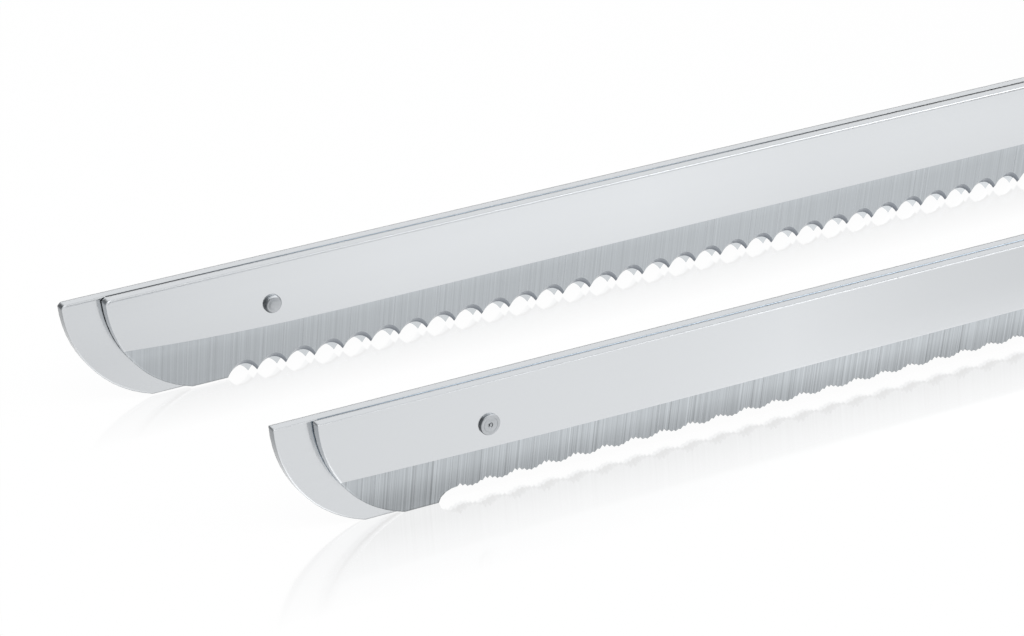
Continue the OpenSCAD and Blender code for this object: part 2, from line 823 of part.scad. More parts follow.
// Frame that carries the axle, both worm bearings and, at its front, the carrier guide
module gear_frame() {
    wall_top = motor_z - 2;
    color([0.7, 0.71, 0.73])
        difference() {
            union() {
                both_sides() {
                    block(
                        [guide_rear, frame_in_y, frame_bottom],
                        [frame_rear + bearing_w, frame_out_y, drive_z + guide_out_h / 2]
                    );
                    block(
                        [front_bearing_x, frame_in_y, frame_bottom],
                        [frame_rear + bearing_w, frame_out_y, wall_top]
                    );
                }
                block(
                    [front_bearing_x, -frame_out_y, motor_z - bearing_r - 9],
                    [front_bearing_x + bearing_w, frame_out_y, wall_top]
                );
                rod_x(front_bearing_x, bearing_r + holder_wall, bearing_w, 0, motor_z);
                block(
                    [frame_rear, -frame_out_y, frame_bottom],
                    [frame_rear + bearing_w, frame_out_y, frame_top]
                );
                block(
                    [-12, -frame_out_y, frame_bottom],
                    [frame_rear + cut, frame_out_y, frame_bottom + frame_t]
                );
                block(
                    [-10, -7, frame_bottom - 1.7],
                    [frame_rear + bearing_w, 7, frame_bottom + cut]
                );
            }
            rod_x(front_bearing_x - cut, bearing_r, bearing_w + 2 * cut, 0, motor_z);
            rod_x(frame_rear - cut, bearing_r, bearing_w + 2 * cut, 0, motor_z);
            rod_y(-frame_out_y - cut, axle_r, 2 * (frame_out_y + cut), 0, wheel_z);
        }
}

module gear_axle() { color([0.75, 0.76, 0.78]) rod_y(-frame_out_y, axle_r, 2 * frame_out_y, 0, wheel_z); }

// Worm wheel with its two eccentric discs, half a turn apart
module worm_wheel() {
    module_size = 2 * wheel_r / wheel_teeth;
    tip_radius = wheel_r + 0.57 * module_size;
    root_radius = wheel_r - 1.24 * module_size;
    tooth_root = 0.67 * module_size;
    tooth_tip = 0.29 * module_size;
    color([0.88, 0.86, 0.78])
        translate([0, 0, wheel_z])
            difference() {
                union() {
                    rotate([90, 0, 0])
                        translate([0, 0, -rim_w / 2])
                            linear_extrude(rim_w)
                                polygon([
                                    for (i = [0:wheel_teeth - 1]) each
                                        let (a = 90 - 360 * i / wheel_teeth)
                                        [
                                            for (p = [
                                                [root_radius, -tooth_root], [tip_radius, -tooth_tip],
                                                [tip_radius, tooth_tip], [root_radius, tooth_root]
                                            ])
                                                [
                                                    p[0] * cos(a) + p[1] * sin(a),
                                                    p[0] * sin(a) - p[1] * cos(a)
                                                ]
                                        ]
                                ]);
                    rod_y(-cam_y, cam_r, cam_y, ecc, 0);
                    rod_y(0, cam_r, cam_y, -ecc, 0);
                }
                rod_y(-cam_y - cut, axle_r + run_play, 2 * (cam_y + cut), 0, 0);
            }
}

// Worm with one thread, as a tube whose outer radius follows the thread
module worm() {
    lead = 2 * PI * wheel_r / wheel_teeth;
    turns = 20;
    steps = 40;
    root = worm_r - 0.95;
    tip = worm_r + 0.8;
    bore = (shaft_r + 0.01) / cos(180 / turns);
    function thread(x, a) =
        let (c = cos(360 * x / lead - a - 90)) root + (tip - root) * min(max(0.42 - 1.1 * c, 0), 1);
    function id(r, c) = r * turns + c % turns;
    points = concat(
        [
            for (r = [0:steps]) for (c = [0:turns - 1])
                let (x = worm_l * (r / steps - 0.5), a = 360 * c / turns, q = thread(x, a))
                [x, q * cos(a), q * sin(a)]
        ],
        [
            for (s = [0.5, -0.5]) for (c = [0:turns - 1])
                let (a = 360 * c / turns) [worm_l * s, bore * cos(a), bore * sin(a)]
        ]
    );
    quads = [
        for (r = [0:steps + 2]) for (c = [0:turns - 1])
            let (n = r == steps + 2 ? 0 : r + 1)
            [id(r, c), id(n, c), id(n, c + 1), id(r, c + 1)]
    ];
    color([0.72, 0.73, 0.76])
        translate([0, 0, motor_z]) polyhedron(points, triangles(quads), convexity = 10);
}

module motor_shaft() {
    color([0.75, 0.76, 0.78]) rod_x(shaft_front, shaft_r, shaft_rear - shaft_front, 0, motor_z);
}

module on_motor(x) {
    translate([x, 0, motor_z]) rotate([0, 90, 0]) children();
}

module armature_core() {
    color([0.45, 0.46, 0.5])
        on_motor(stator_x)
            linear_extrude(stator_l)
                difference() {
                    circle(r = armature_r, $fn = 96);
                    circle(r = shaft_r, $fn = 64);
                    for (i = [0:core_slots - 1])
                        rotate(360 * i / core_slots)
                            translate([armature_r - 3, -0.6]) square([3 + cut, 1.2]);
                }
}

module armature_windings() {
    color([0.72, 0.38, 0.18])
        for (x = [stator_x - coil_l, stator_x + stator_l])
            on_motor(x)
                difference() {
                    cylinder(r = armature_r - 1.2, h = coil_l, $fn = 64);
                    translate([0, 0, -cut]) cylinder(r = shaft_r, h = coil_l + 2 * cut, $fn = 64);
                }
}

module commutator() {
    color([0.76, 0.45, 0.24])
        on_motor(commutator_x)
            difference() {
                cylinder(r = commutator_r, h = commutator_l, $fn = 96);
                translate([0, 0, -cut]) cylinder(r = shaft_r, h = commutator_l + 2 * cut, $fn = 64);
                for (i = [0:bar_slots - 1])
                    rotate(360 * (i + 0.5) / bar_slots)
                        translate([commutator_r - 0.8, -0.25, -cut])
                            cube([0.8 + cut, 0.5, commutator_l + 2 * cut]);
            }
}

module cooling_fan() {
    hub_r = 4.5;
    plate_t = 1.5;
    blade_w = 1.2;
    color([0.2, 0.2, 0.22])
        on_motor(fan_x)
            difference() {
                union() {
                    cylinder(r = hub_r, h = fan_l, $fn = 64);
                    translate([0, 0, fan_l - plate_t]) cylinder(r = fan_r, h = plate_t, $fn = 96);
                    for (i = [0:fan_blades - 1])
                        rotate(360 * i / fan_blades)
                            translate([hub_r - 1, -blade_w / 2, 0])
                                cube([fan_r - hub_r, blade_w, fan_l - plate_t / 2]);
                }
                translate([0, 0, -cut]) cylinder(r = shaft_r, h = fan_l + 2 * cut, $fn = 64);
            }
}

module bearing(x) {
    color([0.68, 0.56, 0.34])
        on_motor(x)
            difference() {
                cylinder(r = bearing_r, h = bearing_w, $fn = 64);
                translate([0, 0, -cut]) cylinder(r = shaft_r + run_play, h = bearing_w + 2 * cut, $fn = 64);
            }
}

module front_bearing() { bearing(front_bearing_x); }
module middle_bearing() { bearing(frame_rear); }
module rear_bearing() { bearing(rear_bearing_x); }

module rear_motor_bracket() {
    arm_h = 12;
    arm_y = inner_y;
    color([0.7, 0.71, 0.73])
        difference() {
            union() {
                rod_x(rear_bearing_x, stator_r - 2, bearing_w, 0, motor_z);
                block(
                    [rear_bearing_x, -arm_y, motor_z - arm_h / 2],
                    [rear_bearing_x + bearing_w, arm_y, motor_z + arm_h / 2]
                );
            }
            rod_x(rear_bearing_x - cut, bearing_r, bearing_w + 2 * cut, 0, motor_z);
        }
}

module stator_core() {
    pole = armature_r + air_gap;
    color([0.42, 0.43, 0.46])
        on_motor(stator_x)
            linear_extrude(stator_l)
                difference() {
                    circle(r = stator_r, $fn = 128);
                    circle(r = pole, $fn = 96);
                    both_sides() translate([-5, pole - cut]) square([10, 3.5 + cut]);
                }
}

module stator_coils() {
    color([0.75, 0.42, 0.2])
        for (x = [stator_x - coil_l, stator_x + stator_l])
            on_motor(x)
                difference() {
                    cylinder(r = stator_r - 1.2, h = coil_l, $fn = 96);
                    translate([0, 0, -cut])
                        cylinder(r = armature_r + air_gap, h = coil_l + 2 * cut, $fn = 96);
                }
}

module brush_holders() {
    near = commutator_r + 0.8;
    far = inner_y;
    inner = brush_s + 2 * fit_play;
    color([0.8, 0.66, 0.34])
        both_sides()
            difference() {
                block(
                    [brush_x - holder_s / 2, near, motor_z - holder_s / 2],
                    [brush_x + holder_s / 2, far, motor_z + holder_s / 2]
                );
                block(
                    [brush_x - inner / 2, near - cut, motor_z - inner / 2],
                    [brush_x + inner / 2, far - 0.8, motor_z + inner / 2]
                );
            }
}

brush_near = commutator_r + 0.2;
brush_l = 5.8;

module carbon_brushes() {
    color([0.15, 0.15, 0.16])
        both_sides()
            block(
                [brush_x - brush_s / 2, brush_near, motor_z - brush_s / 2],
                [brush_x + brush_s / 2, brush_near + brush_l, motor_z + brush_s / 2]
            );
}

module brush_springs() {
    start = brush_near + brush_l + fit_play;
    far = inner_y - 0.8;
    color([0.7, 0.7, 0.72])
        both_sides()
            translate([brush_x, start, motor_z])
                rotate([-90, 0, 0]) coil(2, 0.3, far - fit_play - start, 4);
}

module microswitch() {
    x = plunger_x - switch_l / 2;
    color([0.12, 0.12, 0.13])
        difference() {
            block([x, -switch_w / 2, switch_z], [x + switch_l, switch_w / 2, switch_z + switch_h]);
            translate([plunger_x, 0, switch_z - cut])
                cylinder(r = plunger_r + fit_play, h = switch_h - 1 + cut, $fn = 48);
        }
}

module switch_plunger() {
    color([0.75, 0.2, 0.15])
        translate([plunger_x, 0, plunger_z]) cylinder(r = plunger_r, h = plunger_l, $fn = 48);
}

// Trigger, drawn from its pin: the lever runs forward to the switch and hangs into the arch
module trigger() {
    deep = trigger_z;
    low = [
        for (i = [0:len(trigger_along_shares) - 1])
            [-trigger_reach * trigger_along_shares[i], -deep * trigger_drop_shares[i]]
    ];
    high = [
        for (i = [0:len(trigger_back_shares) - 1])
            [-trigger_reach * trigger_back_shares[i], deep * trigger_rise_shares[i]]
    ];
    color([0.75, 0.13, 0.1])
        difference() {
            translate([trigger_x, trigger_w / 2, trigger_z])
                rotate([90, 0, 0])
                    linear_extrude(trigger_w) {
                        offset(r = 0.8, $fn = 24) offset(delta = -0.8) polygon(concat(low, high));
                        circle(r = trigger_boss_r, $fn = 48);
                    }
            rod_y(-trigger_w, trigger_pin_r + run_play, 2 * trigger_w, trigger_x, trigger_z);
            translate([pocket_x, 0, pocket_z]) cylinder(r = pocket_r, h = trigger_z, $fn = 48);
        }
}

module trigger_bracket() {
    plate_t = 1;
    top = under(trigger_x) - 0.2;
    ear_y = trigger_w / 2 + slide_play;
    ear_r = trigger_boss_r + 0.4;
    color([0.72, 0.73, 0.75])
        difference() {
            union() {
                block(
                    [trigger_x - 7, -ear_y - ear_t, top - plate_t],
                    [trigger_x + 7, ear_y + ear_t, top]
                );
                both_sides() {
                    rod_y(ear_y, ear_r, ear_t, trigger_x, trigger_z);
                    block(
                        [trigger_x - ear_r, ear_y, trigger_z],
                        [trigger_x + ear_r, ear_y + ear_t, top - plate_t / 2]
                    );
                }
            }
            rod_y(-ear_y - ear_t - cut, trigger_pin_r, 2 * (ear_y + ear_t + cut), trigger_x, trigger_z);
        }
}

module trigger_pin() {
    reach = trigger_w / 2 + slide_play + ear_t;
    color([0.75, 0.76, 0.78]) rod_y(-reach, trigger_pin_r, 2 * reach, trigger_x, trigger_z);
}

module trigger_spring() {
    color([0.7, 0.7, 0.72])
        translate([pocket_x, 0, pocket_z + fit_play])
            coil(2.2, 0.35, under(pocket_x) - pocket_z - 2 * fit_play, 5);
}

module lock_slider() {
    top = crest(lock_x + lock_l / 2);
    middle = lock_x + 8.3;
    plate_top = top - wall - 2 * slide_play;
    ribs = 5;
    color([0.12, 0.12, 0.13]) {
        translate([lock_x, -lock_w / 2, top + slide_play + 0.1])
            linear_extrude(lock_h - 1) rounded([lock_l, lock_w], 3);
        for (i = [0:ribs - 1])
            block(
                [lock_x + 3 + 2.2 * i, -lock_w / 2 + 2, top + lock_h - 1],
                [lock_x + 4.2 + 2.2 * i, lock_w / 2 - 2, top + lock_h]
            );
        block(
            [middle - lock_stem_l / 2, -lock_stem_w / 2, plate_top - lock_plate_t],
            [middle + lock_stem_l / 2, lock_stem_w / 2, top + slide_play + cut]
        );
        block(
            [middle - lock_plate_l / 2, -lock_stem_w, plate_top - lock_plate_t],
            [middle + lock_plate_l / 2, lock_stem_w, plate_top]
        );
    }
}

module release_button() {
    out = skin_y(button_x, drive_z) + cap_proud;
    color([0.75, 0.13, 0.1]) {
        rod_y(stem_y, button_stem_r, cap_y - stem_y, button_x, drive_z);
        block(
            [button_x - flange_s / 2 - 1.5, flange_y, drive_z - flange_s / 2],
            [button_x + flange_s / 2 + 1.5, cap_y, drive_z + flange_s / 2]
        );
        translate([button_x - cap_l / 2, cap_y - sliver, drive_z + cap_h / 2])
            rotate([-90, 0, 0]) linear_extrude(out - cap_y) rounded([cap_l, cap_h], 3);
    }
}

module release_spring() {
    color([0.7, 0.7, 0.72])
        translate([button_x, guide_out_y + fit_play, drive_z])
            rotate([-90, 0, 0])
                coil(button_stem_r + 1, 0.35, flange_y - guide_out_y - 2 * fit_play, 3);
}

module release_button_left() { mirror([0, 1, 0]) release_button(); }
module release_button_right() { release_button(); }
module release_spring_left() { mirror([0, 1, 0]) release_spring(); }
module release_spring_right() { release_spring(); }

capacitor_r = 6;
capacitor_share = 0.437;
vent_pitch_share = 0.1093;
fan_vent_pitch_share = 0.389;
back_room_play = 5.5;
back_room_x = rear_bearing_x + bearing_w + back_room_play;
back_room_y = inner_y;
back_room_l = housing_rear - back_room_x;
capacitor_l = capacitor_share * back_room_l;
capacitor_drop = 2;

module capacitor() {
    color([0.85, 0.75, 0.3]) 
        rod_x(back_room_x, capacitor_r, capacitor_l, capacitor_r - back_room_y, motor_z - capacitor_drop);
}

block_l = 18;
block_w = 11;
block_h = 8;
block_z = motor_z - 12;

module terminal_block() {
    color([0.9, 0.89, 0.85])
        difference() {
            block(
                [back_room_x, back_room_y - block_w, block_z],
                [back_room_x + block_l, back_room_y, block_z + block_h]
            );
            for (i = [0:2])
                translate([back_room_x + 3 + 6 * i, back_room_y - block_w / 2, block_z + 4])
                    cylinder(r = 1.8, h = block_h, $fn = 32);
        }
}

// Routes of the three inner leads, as points in millimetres chosen by hand
lead_to_brush = [
    [31.3, -3, 15.4], [33.2, -3, 15.4], [37, -9, 19], [41, -14.4, 23.6], [45, -15.2, 25.6],
    [60, -15.2, 25.6], [75, -15.2, 25.6], [84, -15.2, 27], [88, -15, 31], [91, -14.6, 36],
    [92.6, -14.6, 38], [94.1, -14.6, 38]
];
lead_to_block = [
    [31.3, 3, 15.4], [33.2, 3, 15.4], [37, 9, 19], [41, 14.4, 23.6], [45, 15.2, 25.6],
    [60, 15.2, 25.6], [75, 15.2, 25.6], [84, 15.4, 27.5], [90, 15.8, 30.4], [98, 15.8, 31],
    [105, 15.2, 28.4], [111, 14.8, 27], [116, 14.4, 28], [117.9, 14.4, 28]
];
lead_to_far_brush = [
    [117.9, 10.8, 30], [116, 10.8, 30], [113.6, 11.6, 27], [107.4, 12, 26.6], [105, 13.2, 32],
    [104.6, 13.6, 36], [103.6, 13.6, 38], [102, 13.6, 38]
];
lead_groove = [[13.6, 23.2], [16.6, 27]];

module internal_wires() {
    color([0.2, 0.35, 0.7]) {
        wire_run(lead_to_brush);
        wire_run(lead_to_block);
        wire_run(lead_to_far_brush);
    }
}

// One half of the housing, on the side of negative or positive Y
module housing(side) {
    turn = side < 0 ? 90 : -90;
    difference() {
        union() {
            skin(row_places(0, rows), turn, turn + 180, -wall, 0, half_cols);
            for (x = [stator_x + rib_in, stator_x + stator_l - rib_in])
                difference() {
                    skin(
                        [x - rib_t / 2, x + rib_t / 2], turn, turn + 180,
                        -wall - rib_h, -wall / 2, half_cols
                    );
                    rod_x(x - rib_t, stator_r + fit_play, 2 * rib_t, 0, motor_z);
                }
            difference() {
                for (p = screw_places) screw_boss(p, side);
                skin(row_places(0, rows), turn, turn + 180, 0, 3 * boss_r, half_cols);
            }
        }
        block(
            [housing_front - cut, -handle_w, -handle_h],
            [housing_rear + cut, handle_w, foot_t]
        );
        block(
            [housing_front - cut, -guide_out_y - fit_play, drive_z - guide_out_h / 2 - fit_play],
            [guide_rear + cut, guide_out_y + fit_play, drive_z + guide_out_h / 2 + fit_play]
        );
        translate([trigger_x - 22, -trigger_w / 2 - 2 * slide_play, trigger_slot_z])
            rotate([0, -90, 0])
                linear_extrude(19) rounded([trigger_slot_h, trigger_w + 4 * slide_play], 1.5);
        translate([lock_x + 5, -lock_stem_w / 2 - slide_play, handle_h - 3 * wall])
            linear_extrude(4 * wall)
                rounded([lock_stem_l + 0.6 + lock_travel, lock_stem_w + 2 * slide_play], 0.6);
        both_sides() {
            button_hole();
            vents();
        }
        for (p = screw_places) screw_hole(p);
        both_sides()
            block(
                [stator_x, lead_groove[0][0], lead_groove[0][1]],
                [stator_x + stator_l, lead_groove[1][0], lead_groove[1][1]]
            );
    }
}

module button_hole() {
    play = slide_play;
    translate([button_x - cap_l / 2 - play, cap_y - 0.4, drive_z + cap_h / 2 + play])
        rotate([-90, 0, 0])
            linear_extrude(handle_w) rounded([cap_l + 2 * play, cap_h + 2 * play], 3 + play);
    block(
        [button_x - flange_s / 2 - 2, guide_out_y, drive_z - flange_s / 2 - 0.5],
        [button_x + flange_s / 2 + 2, cap_y + fit_play, drive_z + flange_s / 2 + 0.5]
    );
}

module vents() {
    low = inlet_z - inlet_r - inlet_flange;
    fan_low = motor_z - fan_vent_drop;
    for (i = [0:4]) {
        x = back_room_x + vent_pitch_share * back_room_l * i;
        block([x, back_room_y - boss_r, low], [x + vent_w, handle_w, low + vent_h]);
    }
    for (i = [0:2]) {
        x = fan_x + cut + fan_vent_pitch_share * fan_l * i;
        block([x, back_room_y - boss_r / 2, fan_low], [x + vent_w, handle_w, fan_low + vent_h]);
    }
}

module screw_boss(p, side) {
    long = skin_y(p[0], p[1]) - wall / 2;
    r = side < 0 ? boss_r - 0.8 : boss_r;
    translate([p[0], side < 0 ? -long : 0, p[1]])
        rotate([-90, 0, 0]) hull() cylinder(r = r, h = long, $fn = 24);
}

module screw_hole(p) {
    far = skin_y(p[0], p[1]);
    rod_y(-screw_bite - cut, screw_r + fit_play, far + screw_bite + cut, p[0], p[1]);
    rod_y(far - screw_sink - fit_play, screw_head_r + fit_play, screw_sink + cut + wall, p[0], p[1]);
}

module housing_left() {
    color([0.13, 0.13, 0.14]) intersection() {
        housing(-1);
        block([housing_front - cut, -handle_w, 0], [housing_rear + cut, 0, 2 * handle_h]);
    }
}

module housing_right() {
    color([0.13, 0.13, 0.14]) intersection() {
        housing(1);
        block([housing_front - cut, 0, 0], [housing_rear + cut, handle_w, 2 * handle_h]);
    }
}

module nose_collar() {
    play = 0.5;
    color([0.75, 0.76, 0.78])
        difference() {
            hull() {
                slice(housing_front, nose_x, -collar_face_in);
                slice(housing_front, nose_x + collar_round, -collar_edge_in);
                slice(housing_front, housing_front - sliver, 0);
            }
            block(
                [nose_x - cut, -shank_reach - play, drive_z - shank_h / 2 - play],
                [housing_front + cut, shank_reach + play, drive_z + shank_h / 2 + play]
            );
            block(
                [nose_x + collar_round, -carrier_out - 2 * play, drive_z - carrier_h / 2 - play],
                [housing_front + cut, carrier_out + 2 * play, drive_z + carrier_h / 2 + play]
            );
            translate([nose_x - cut, -handle_w, -handle_h])
                cube([collar_l + 2 * cut, 2 * handle_w, handle_h + foot_t]);
        }
}

module rear_cap() {
    color([0.13, 0.13, 0.14])
        difference() {
            hull() {
                slice(housing_rear, housing_rear, 0);
                slice(housing_rear, housing_rear + rear_cap_l - rear_round, -rear_edge_in);
                slice(housing_rear, housing_rear + rear_cap_l, -rear_face_in);
            }
            rod_x(housing_rear - cut, inlet_r, rear_cap_l + 2 * cut, 0, inlet_z);
        }
}

module cord_inlet() {
    rim_x = housing_rear + rear_cap_l + sliver;
    color([0.1, 0.1, 0.1])
        difference() {
            union() {
                rod_x(inlet_x, inlet_r, inlet_l, 0, inlet_z);
                rod_x(inlet_x, inlet_r + inlet_flange, inlet_flange, 0, inlet_z);
                rod_x(rim_x, inlet_r + inlet_rim, inlet_x + inlet_l - rim_x, 0, inlet_z);
            }
            rod_x(inlet_x - cut, cord_r, inlet_l + 2 * cut, 0, inlet_z);
        }
}

// A raised patch that follows the housing's own facets, from row to row and half that many
// columns to each side of the given turn
module patch(row0, row1, turn, side_cols, t) {
    spread = side_cols * 180 / half_cols;
    skin(row_places(row0, row1), turn - spread, turn + spread, 0, t, 2 * side_cols);
}

module top_trim() {
    color([0.78, 0.79, 0.81]) {
        patch(2, 11, 90, 1, trim_t);
        patch(16, 25, 90, 1, trim_t);
    }
}

module grip_pad() {
    color([0.1, 0.1, 0.1]) patch(16, 20, 270, 3, pad_t);
}

module foot(shares) {
    x = station(shares[0]);
    color([0.08, 0.08, 0.08])
        translate([x, -foot_w / 2, 0])
            linear_extrude(foot_t) rounded([station(shares[1]) - x, foot_w], foot_r);
}

module front_foot() { foot(front_foot_shares); }
module rear_foot() { foot(rear_foot_shares); }

module housing_screws() {
    color([0.72, 0.73, 0.75])
        for (p = screw_places) {
            far = skin_y(p[0], p[1]);
            rod_y(far - screw_sink, screw_head_r, screw_head_h, p[0], p[1]);
            rod_y(-screw_bite, screw_r, far - screw_sink + screw_bite + screw_head_h / 2, p[0], p[1]);
        }
}

carving_blade_left();
carving_blade_right();
carving_rivet();
carving_shank_left();
carving_shank_right();
fine_blade_left();
fine_blade_right();
fine_rivet();
fine_shank_left();
fine_shank_right();
blade_carrier_left();
blade_carrier_right();
carrier_guide();
gear_frame();
gear_axle();
worm_wheel();
worm();
motor_shaft();
armature_core();
armature_windings();
commutator();
cooling_fan();
front_bearing();
middle_bearing();
rear_bearing();
rear_motor_bracket();
stator_core();
stator_coils();
brush_holders();
carbon_brushes();
brush_springs();
microswitch();
switch_plunger();
trigger();
trigger_bracket();
trigger_pin();
trigger_spring();
lock_slider();
release_button_left();
release_button_right();
release_spring_left();
release_spring_right();
capacitor();
terminal_block();
internal_wires();
housing_left();
housing_right();
nose_collar();
rear_cap();
top_trim();
grip_pad();
front_foot();
rear_foot();
cord_inlet();
housing_screws();
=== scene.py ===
"""An electric carving knife with a coarse and a fine blade set: looks, camera, floor and light."""

import json
import math

import bmesh
import bpy
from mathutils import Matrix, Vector


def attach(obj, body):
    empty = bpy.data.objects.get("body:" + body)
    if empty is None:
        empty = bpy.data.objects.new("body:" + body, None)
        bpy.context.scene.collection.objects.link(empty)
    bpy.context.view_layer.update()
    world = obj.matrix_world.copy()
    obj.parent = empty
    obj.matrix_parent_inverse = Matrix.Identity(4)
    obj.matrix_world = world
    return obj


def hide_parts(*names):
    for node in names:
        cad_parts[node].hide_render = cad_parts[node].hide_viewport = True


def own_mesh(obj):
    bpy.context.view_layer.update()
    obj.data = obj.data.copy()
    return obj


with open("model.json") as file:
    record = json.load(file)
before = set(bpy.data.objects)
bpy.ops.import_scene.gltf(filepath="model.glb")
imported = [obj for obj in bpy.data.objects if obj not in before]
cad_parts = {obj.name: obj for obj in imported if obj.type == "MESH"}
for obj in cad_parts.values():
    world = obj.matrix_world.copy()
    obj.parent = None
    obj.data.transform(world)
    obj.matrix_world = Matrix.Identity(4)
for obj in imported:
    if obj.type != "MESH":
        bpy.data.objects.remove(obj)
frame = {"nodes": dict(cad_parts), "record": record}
nodes = frame["nodes"]
slots = {part["node"]: part["material_slot"] for part in frame["record"]["subparts"]}
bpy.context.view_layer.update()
scene = bpy.context.scene
MM = 0.001
TURN = 2 * math.pi


# Camera

PICTURE_WIDTH = 1024  # pixels
FOCAL_LENGTH = 4218  # in pixels of that width
FILM_WIDTH = 36  # mm
CAMERA_PLACE = (-0.49686, -0.52803, 0.28852)
CAMERA_DOWN = 25.47  # degrees below the level
CAMERA_TURN = -29.99  # degrees round Z

cam_data = bpy.data.cameras.new("camera")
cam_data.sensor_fit = "HORIZONTAL"
cam_data.sensor_width = FILM_WIDTH
cam_data.lens = FOCAL_LENGTH * FILM_WIDTH / PICTURE_WIDTH
cam_data.clip_start = 0.05
cam_data.clip_end = 20
camera = bpy.data.objects.new("camera", cam_data)
camera.location = CAMERA_PLACE
camera.rotation_euler = (math.radians(90 - CAMERA_DOWN), 0, math.radians(CAMERA_TURN))
scene.collection.objects.link(camera)
scene.camera = camera
scene.view_settings.view_transform = "Standard"


# Node helpers


class Graph:
    """A material's node tree, with short calls for the nodes that are used here."""

    def __init__(self, name):
        self.material = bpy.data.materials.new(name)
        self.material.use_nodes = True
        self.tree = self.material.node_tree
        self.tree.nodes.clear()
        self.out = self.node("ShaderNodeOutputMaterial")
        self.shader = self.node("ShaderNodeBsdfPrincipled")
        self.tree.links.new(self.shader.outputs[0], self.out.inputs["Surface"])
        self.coord = self.node("ShaderNodeTexCoord").outputs["Object"]

    def node(self, kind, **props):
        n = self.tree.nodes.new(kind)
        for k, v in props.items():
            setattr(n, k, v)
        return n

    def link(self, value, socket):
        """Sets a socket to a number or a colour, or links an output to it."""
        if isinstance(value, (int, float)):
            socket.default_value = value
        elif isinstance(value, (tuple, list)):
            socket.default_value = tuple(value) + (1,) if len(value) == 3 else tuple(value)
        else:
            self.tree.links.new(value, socket)

    def xyz(self, vector):
        n = self.node("ShaderNodeSeparateXYZ")
        self.link(vector, n.inputs[0])
        return n.outputs

    def math(self, op, *values, clamp=False):
        n = self.node("ShaderNodeMath", operation=op, use_clamp=clamp)
        for value, socket in zip(values, n.inputs):
            self.link(value, socket)
        return n.outputs[0]

    def chain(self, op, first, *rest):
        for value in rest:
            first = self.math(op, first, value)
        return first

    def times(self, *values):
        return self.chain("MULTIPLY", *values)

    def plus(self, *values):
        return self.chain("ADD", *values)

    def rest_of(self, share):
        return self.math("SUBTRACT", 1.0, share)

    def above(self, value, limit):
        return self.math("GREATER_THAN", value, limit)

    def below(self, value, limit):
        return self.math("LESS_THAN", value, limit)

    def noise(self, scale, detail=3.0, rough=0.55, location=(0, 0, 0)):
        place = self.node("ShaderNodeMapping")
        place.inputs["Scale"].default_value = scale
        place.inputs["Location"].default_value = location
        self.tree.links.new(self.coord, place.inputs["Vector"])
        n = self.node("ShaderNodeTexNoise")
        self.tree.links.new(place.outputs[0], n.inputs["Vector"])
        n.inputs["Scale"].default_value = 1.0
        n.inputs["Detail"].default_value = detail
        n.inputs["Roughness"].default_value = rough
        return n.outputs["Fac"]

    def ramp(self, value, low, high, out_low=0.0, out_high=1.0):
        n = self.node("ShaderNodeMapRange")
        self.link(value, n.inputs["Value"])
        ends = {"From Min": low, "From Max": high, "To Min": out_low, "To Max": out_high}
        for name, v in ends.items():
            n.inputs[name].default_value = v
        return n.outputs[0]

    def stops(self, value, low, high, places):
        """A colour ramp over value, given as (place, colour) pairs."""
        n = self.node("ShaderNodeValToRGB")
        while len(n.color_ramp.elements) < len(places):
            n.color_ramp.elements.new(0.5)
        for element, (place, colour) in zip(n.color_ramp.elements, places):
            element.position = (place - low) / (high - low)
            element.color = tuple(colour) + (1,)
        self.link(self.ramp(value, low, high), n.inputs[0])
        return n.outputs[0]

    def mix(self, factor, a, b, blend="MIX"):
        n = self.node("ShaderNodeMix", data_type="RGBA", blend_type=blend)
        self.link(factor, n.inputs[0])
        self.link(a, n.inputs[6])
        self.link(b, n.inputs[7])
        return n.outputs[2]

    def tint(self, colour, filter_colour):
        return self.mix(1.0, colour, filter_colour, "MULTIPLY")

    def lerp(self, factor, a, b):
        """A number between a and b."""
        n = self.node("ShaderNodeMix", data_type="FLOAT")
        self.link(factor, n.inputs[0])
        self.link(a, n.inputs[2])
        self.link(b, n.inputs[3])
        return n.outputs[0]

    def between(self, factor, a, b):
        """A direction between a and b."""
        n = self.node("ShaderNodeMix", data_type="VECTOR")
        self.link(factor, n.inputs[0])
        self.link(a, n.inputs[4])
        self.link(b, n.inputs[5])
        return n.outputs[1]

    def bump(self, height, distance, strength, normal):
        n = self.node("ShaderNodeBump")
        n.inputs["Strength"].default_value = strength
        n.inputs["Distance"].default_value = distance
        self.link(height, n.inputs["Height"])
        self.link(normal, n.inputs["Normal"])
        return n.outputs[0]

    def rounded(self, radius, samples=6):
        """The surface's direction with its edges rounded off."""
        n = self.node("ShaderNodeBevel", samples=samples)
        n.inputs["Radius"].default_value = radius
        return n.outputs[0]

    def set(self, **sockets):
        for name, value in sockets.items():
            self.link(value, self.shader.inputs[name.replace("_", " ")])
        return self.material


def rgb(*levels):
    """A colour given as it looks on screen, 0 to 255, as linear values."""
    return tuple(
        (c / 255 / 12.92) if c <= 10 else ((c / 255 + 0.055) / 1.055) ** 2.4 for c in levels
    )


def greys(places):
    """Plain grey stops from (place, value) pairs."""
    return [(place, (v, v, v)) for place, v in places]


def cool(places, green, blue):
    """Stops from (place, screen level) pairs, with that much more green and blue than red."""
    return [(place, rgb(v, v + green, v + blue)) for place, v in places]


# Steel

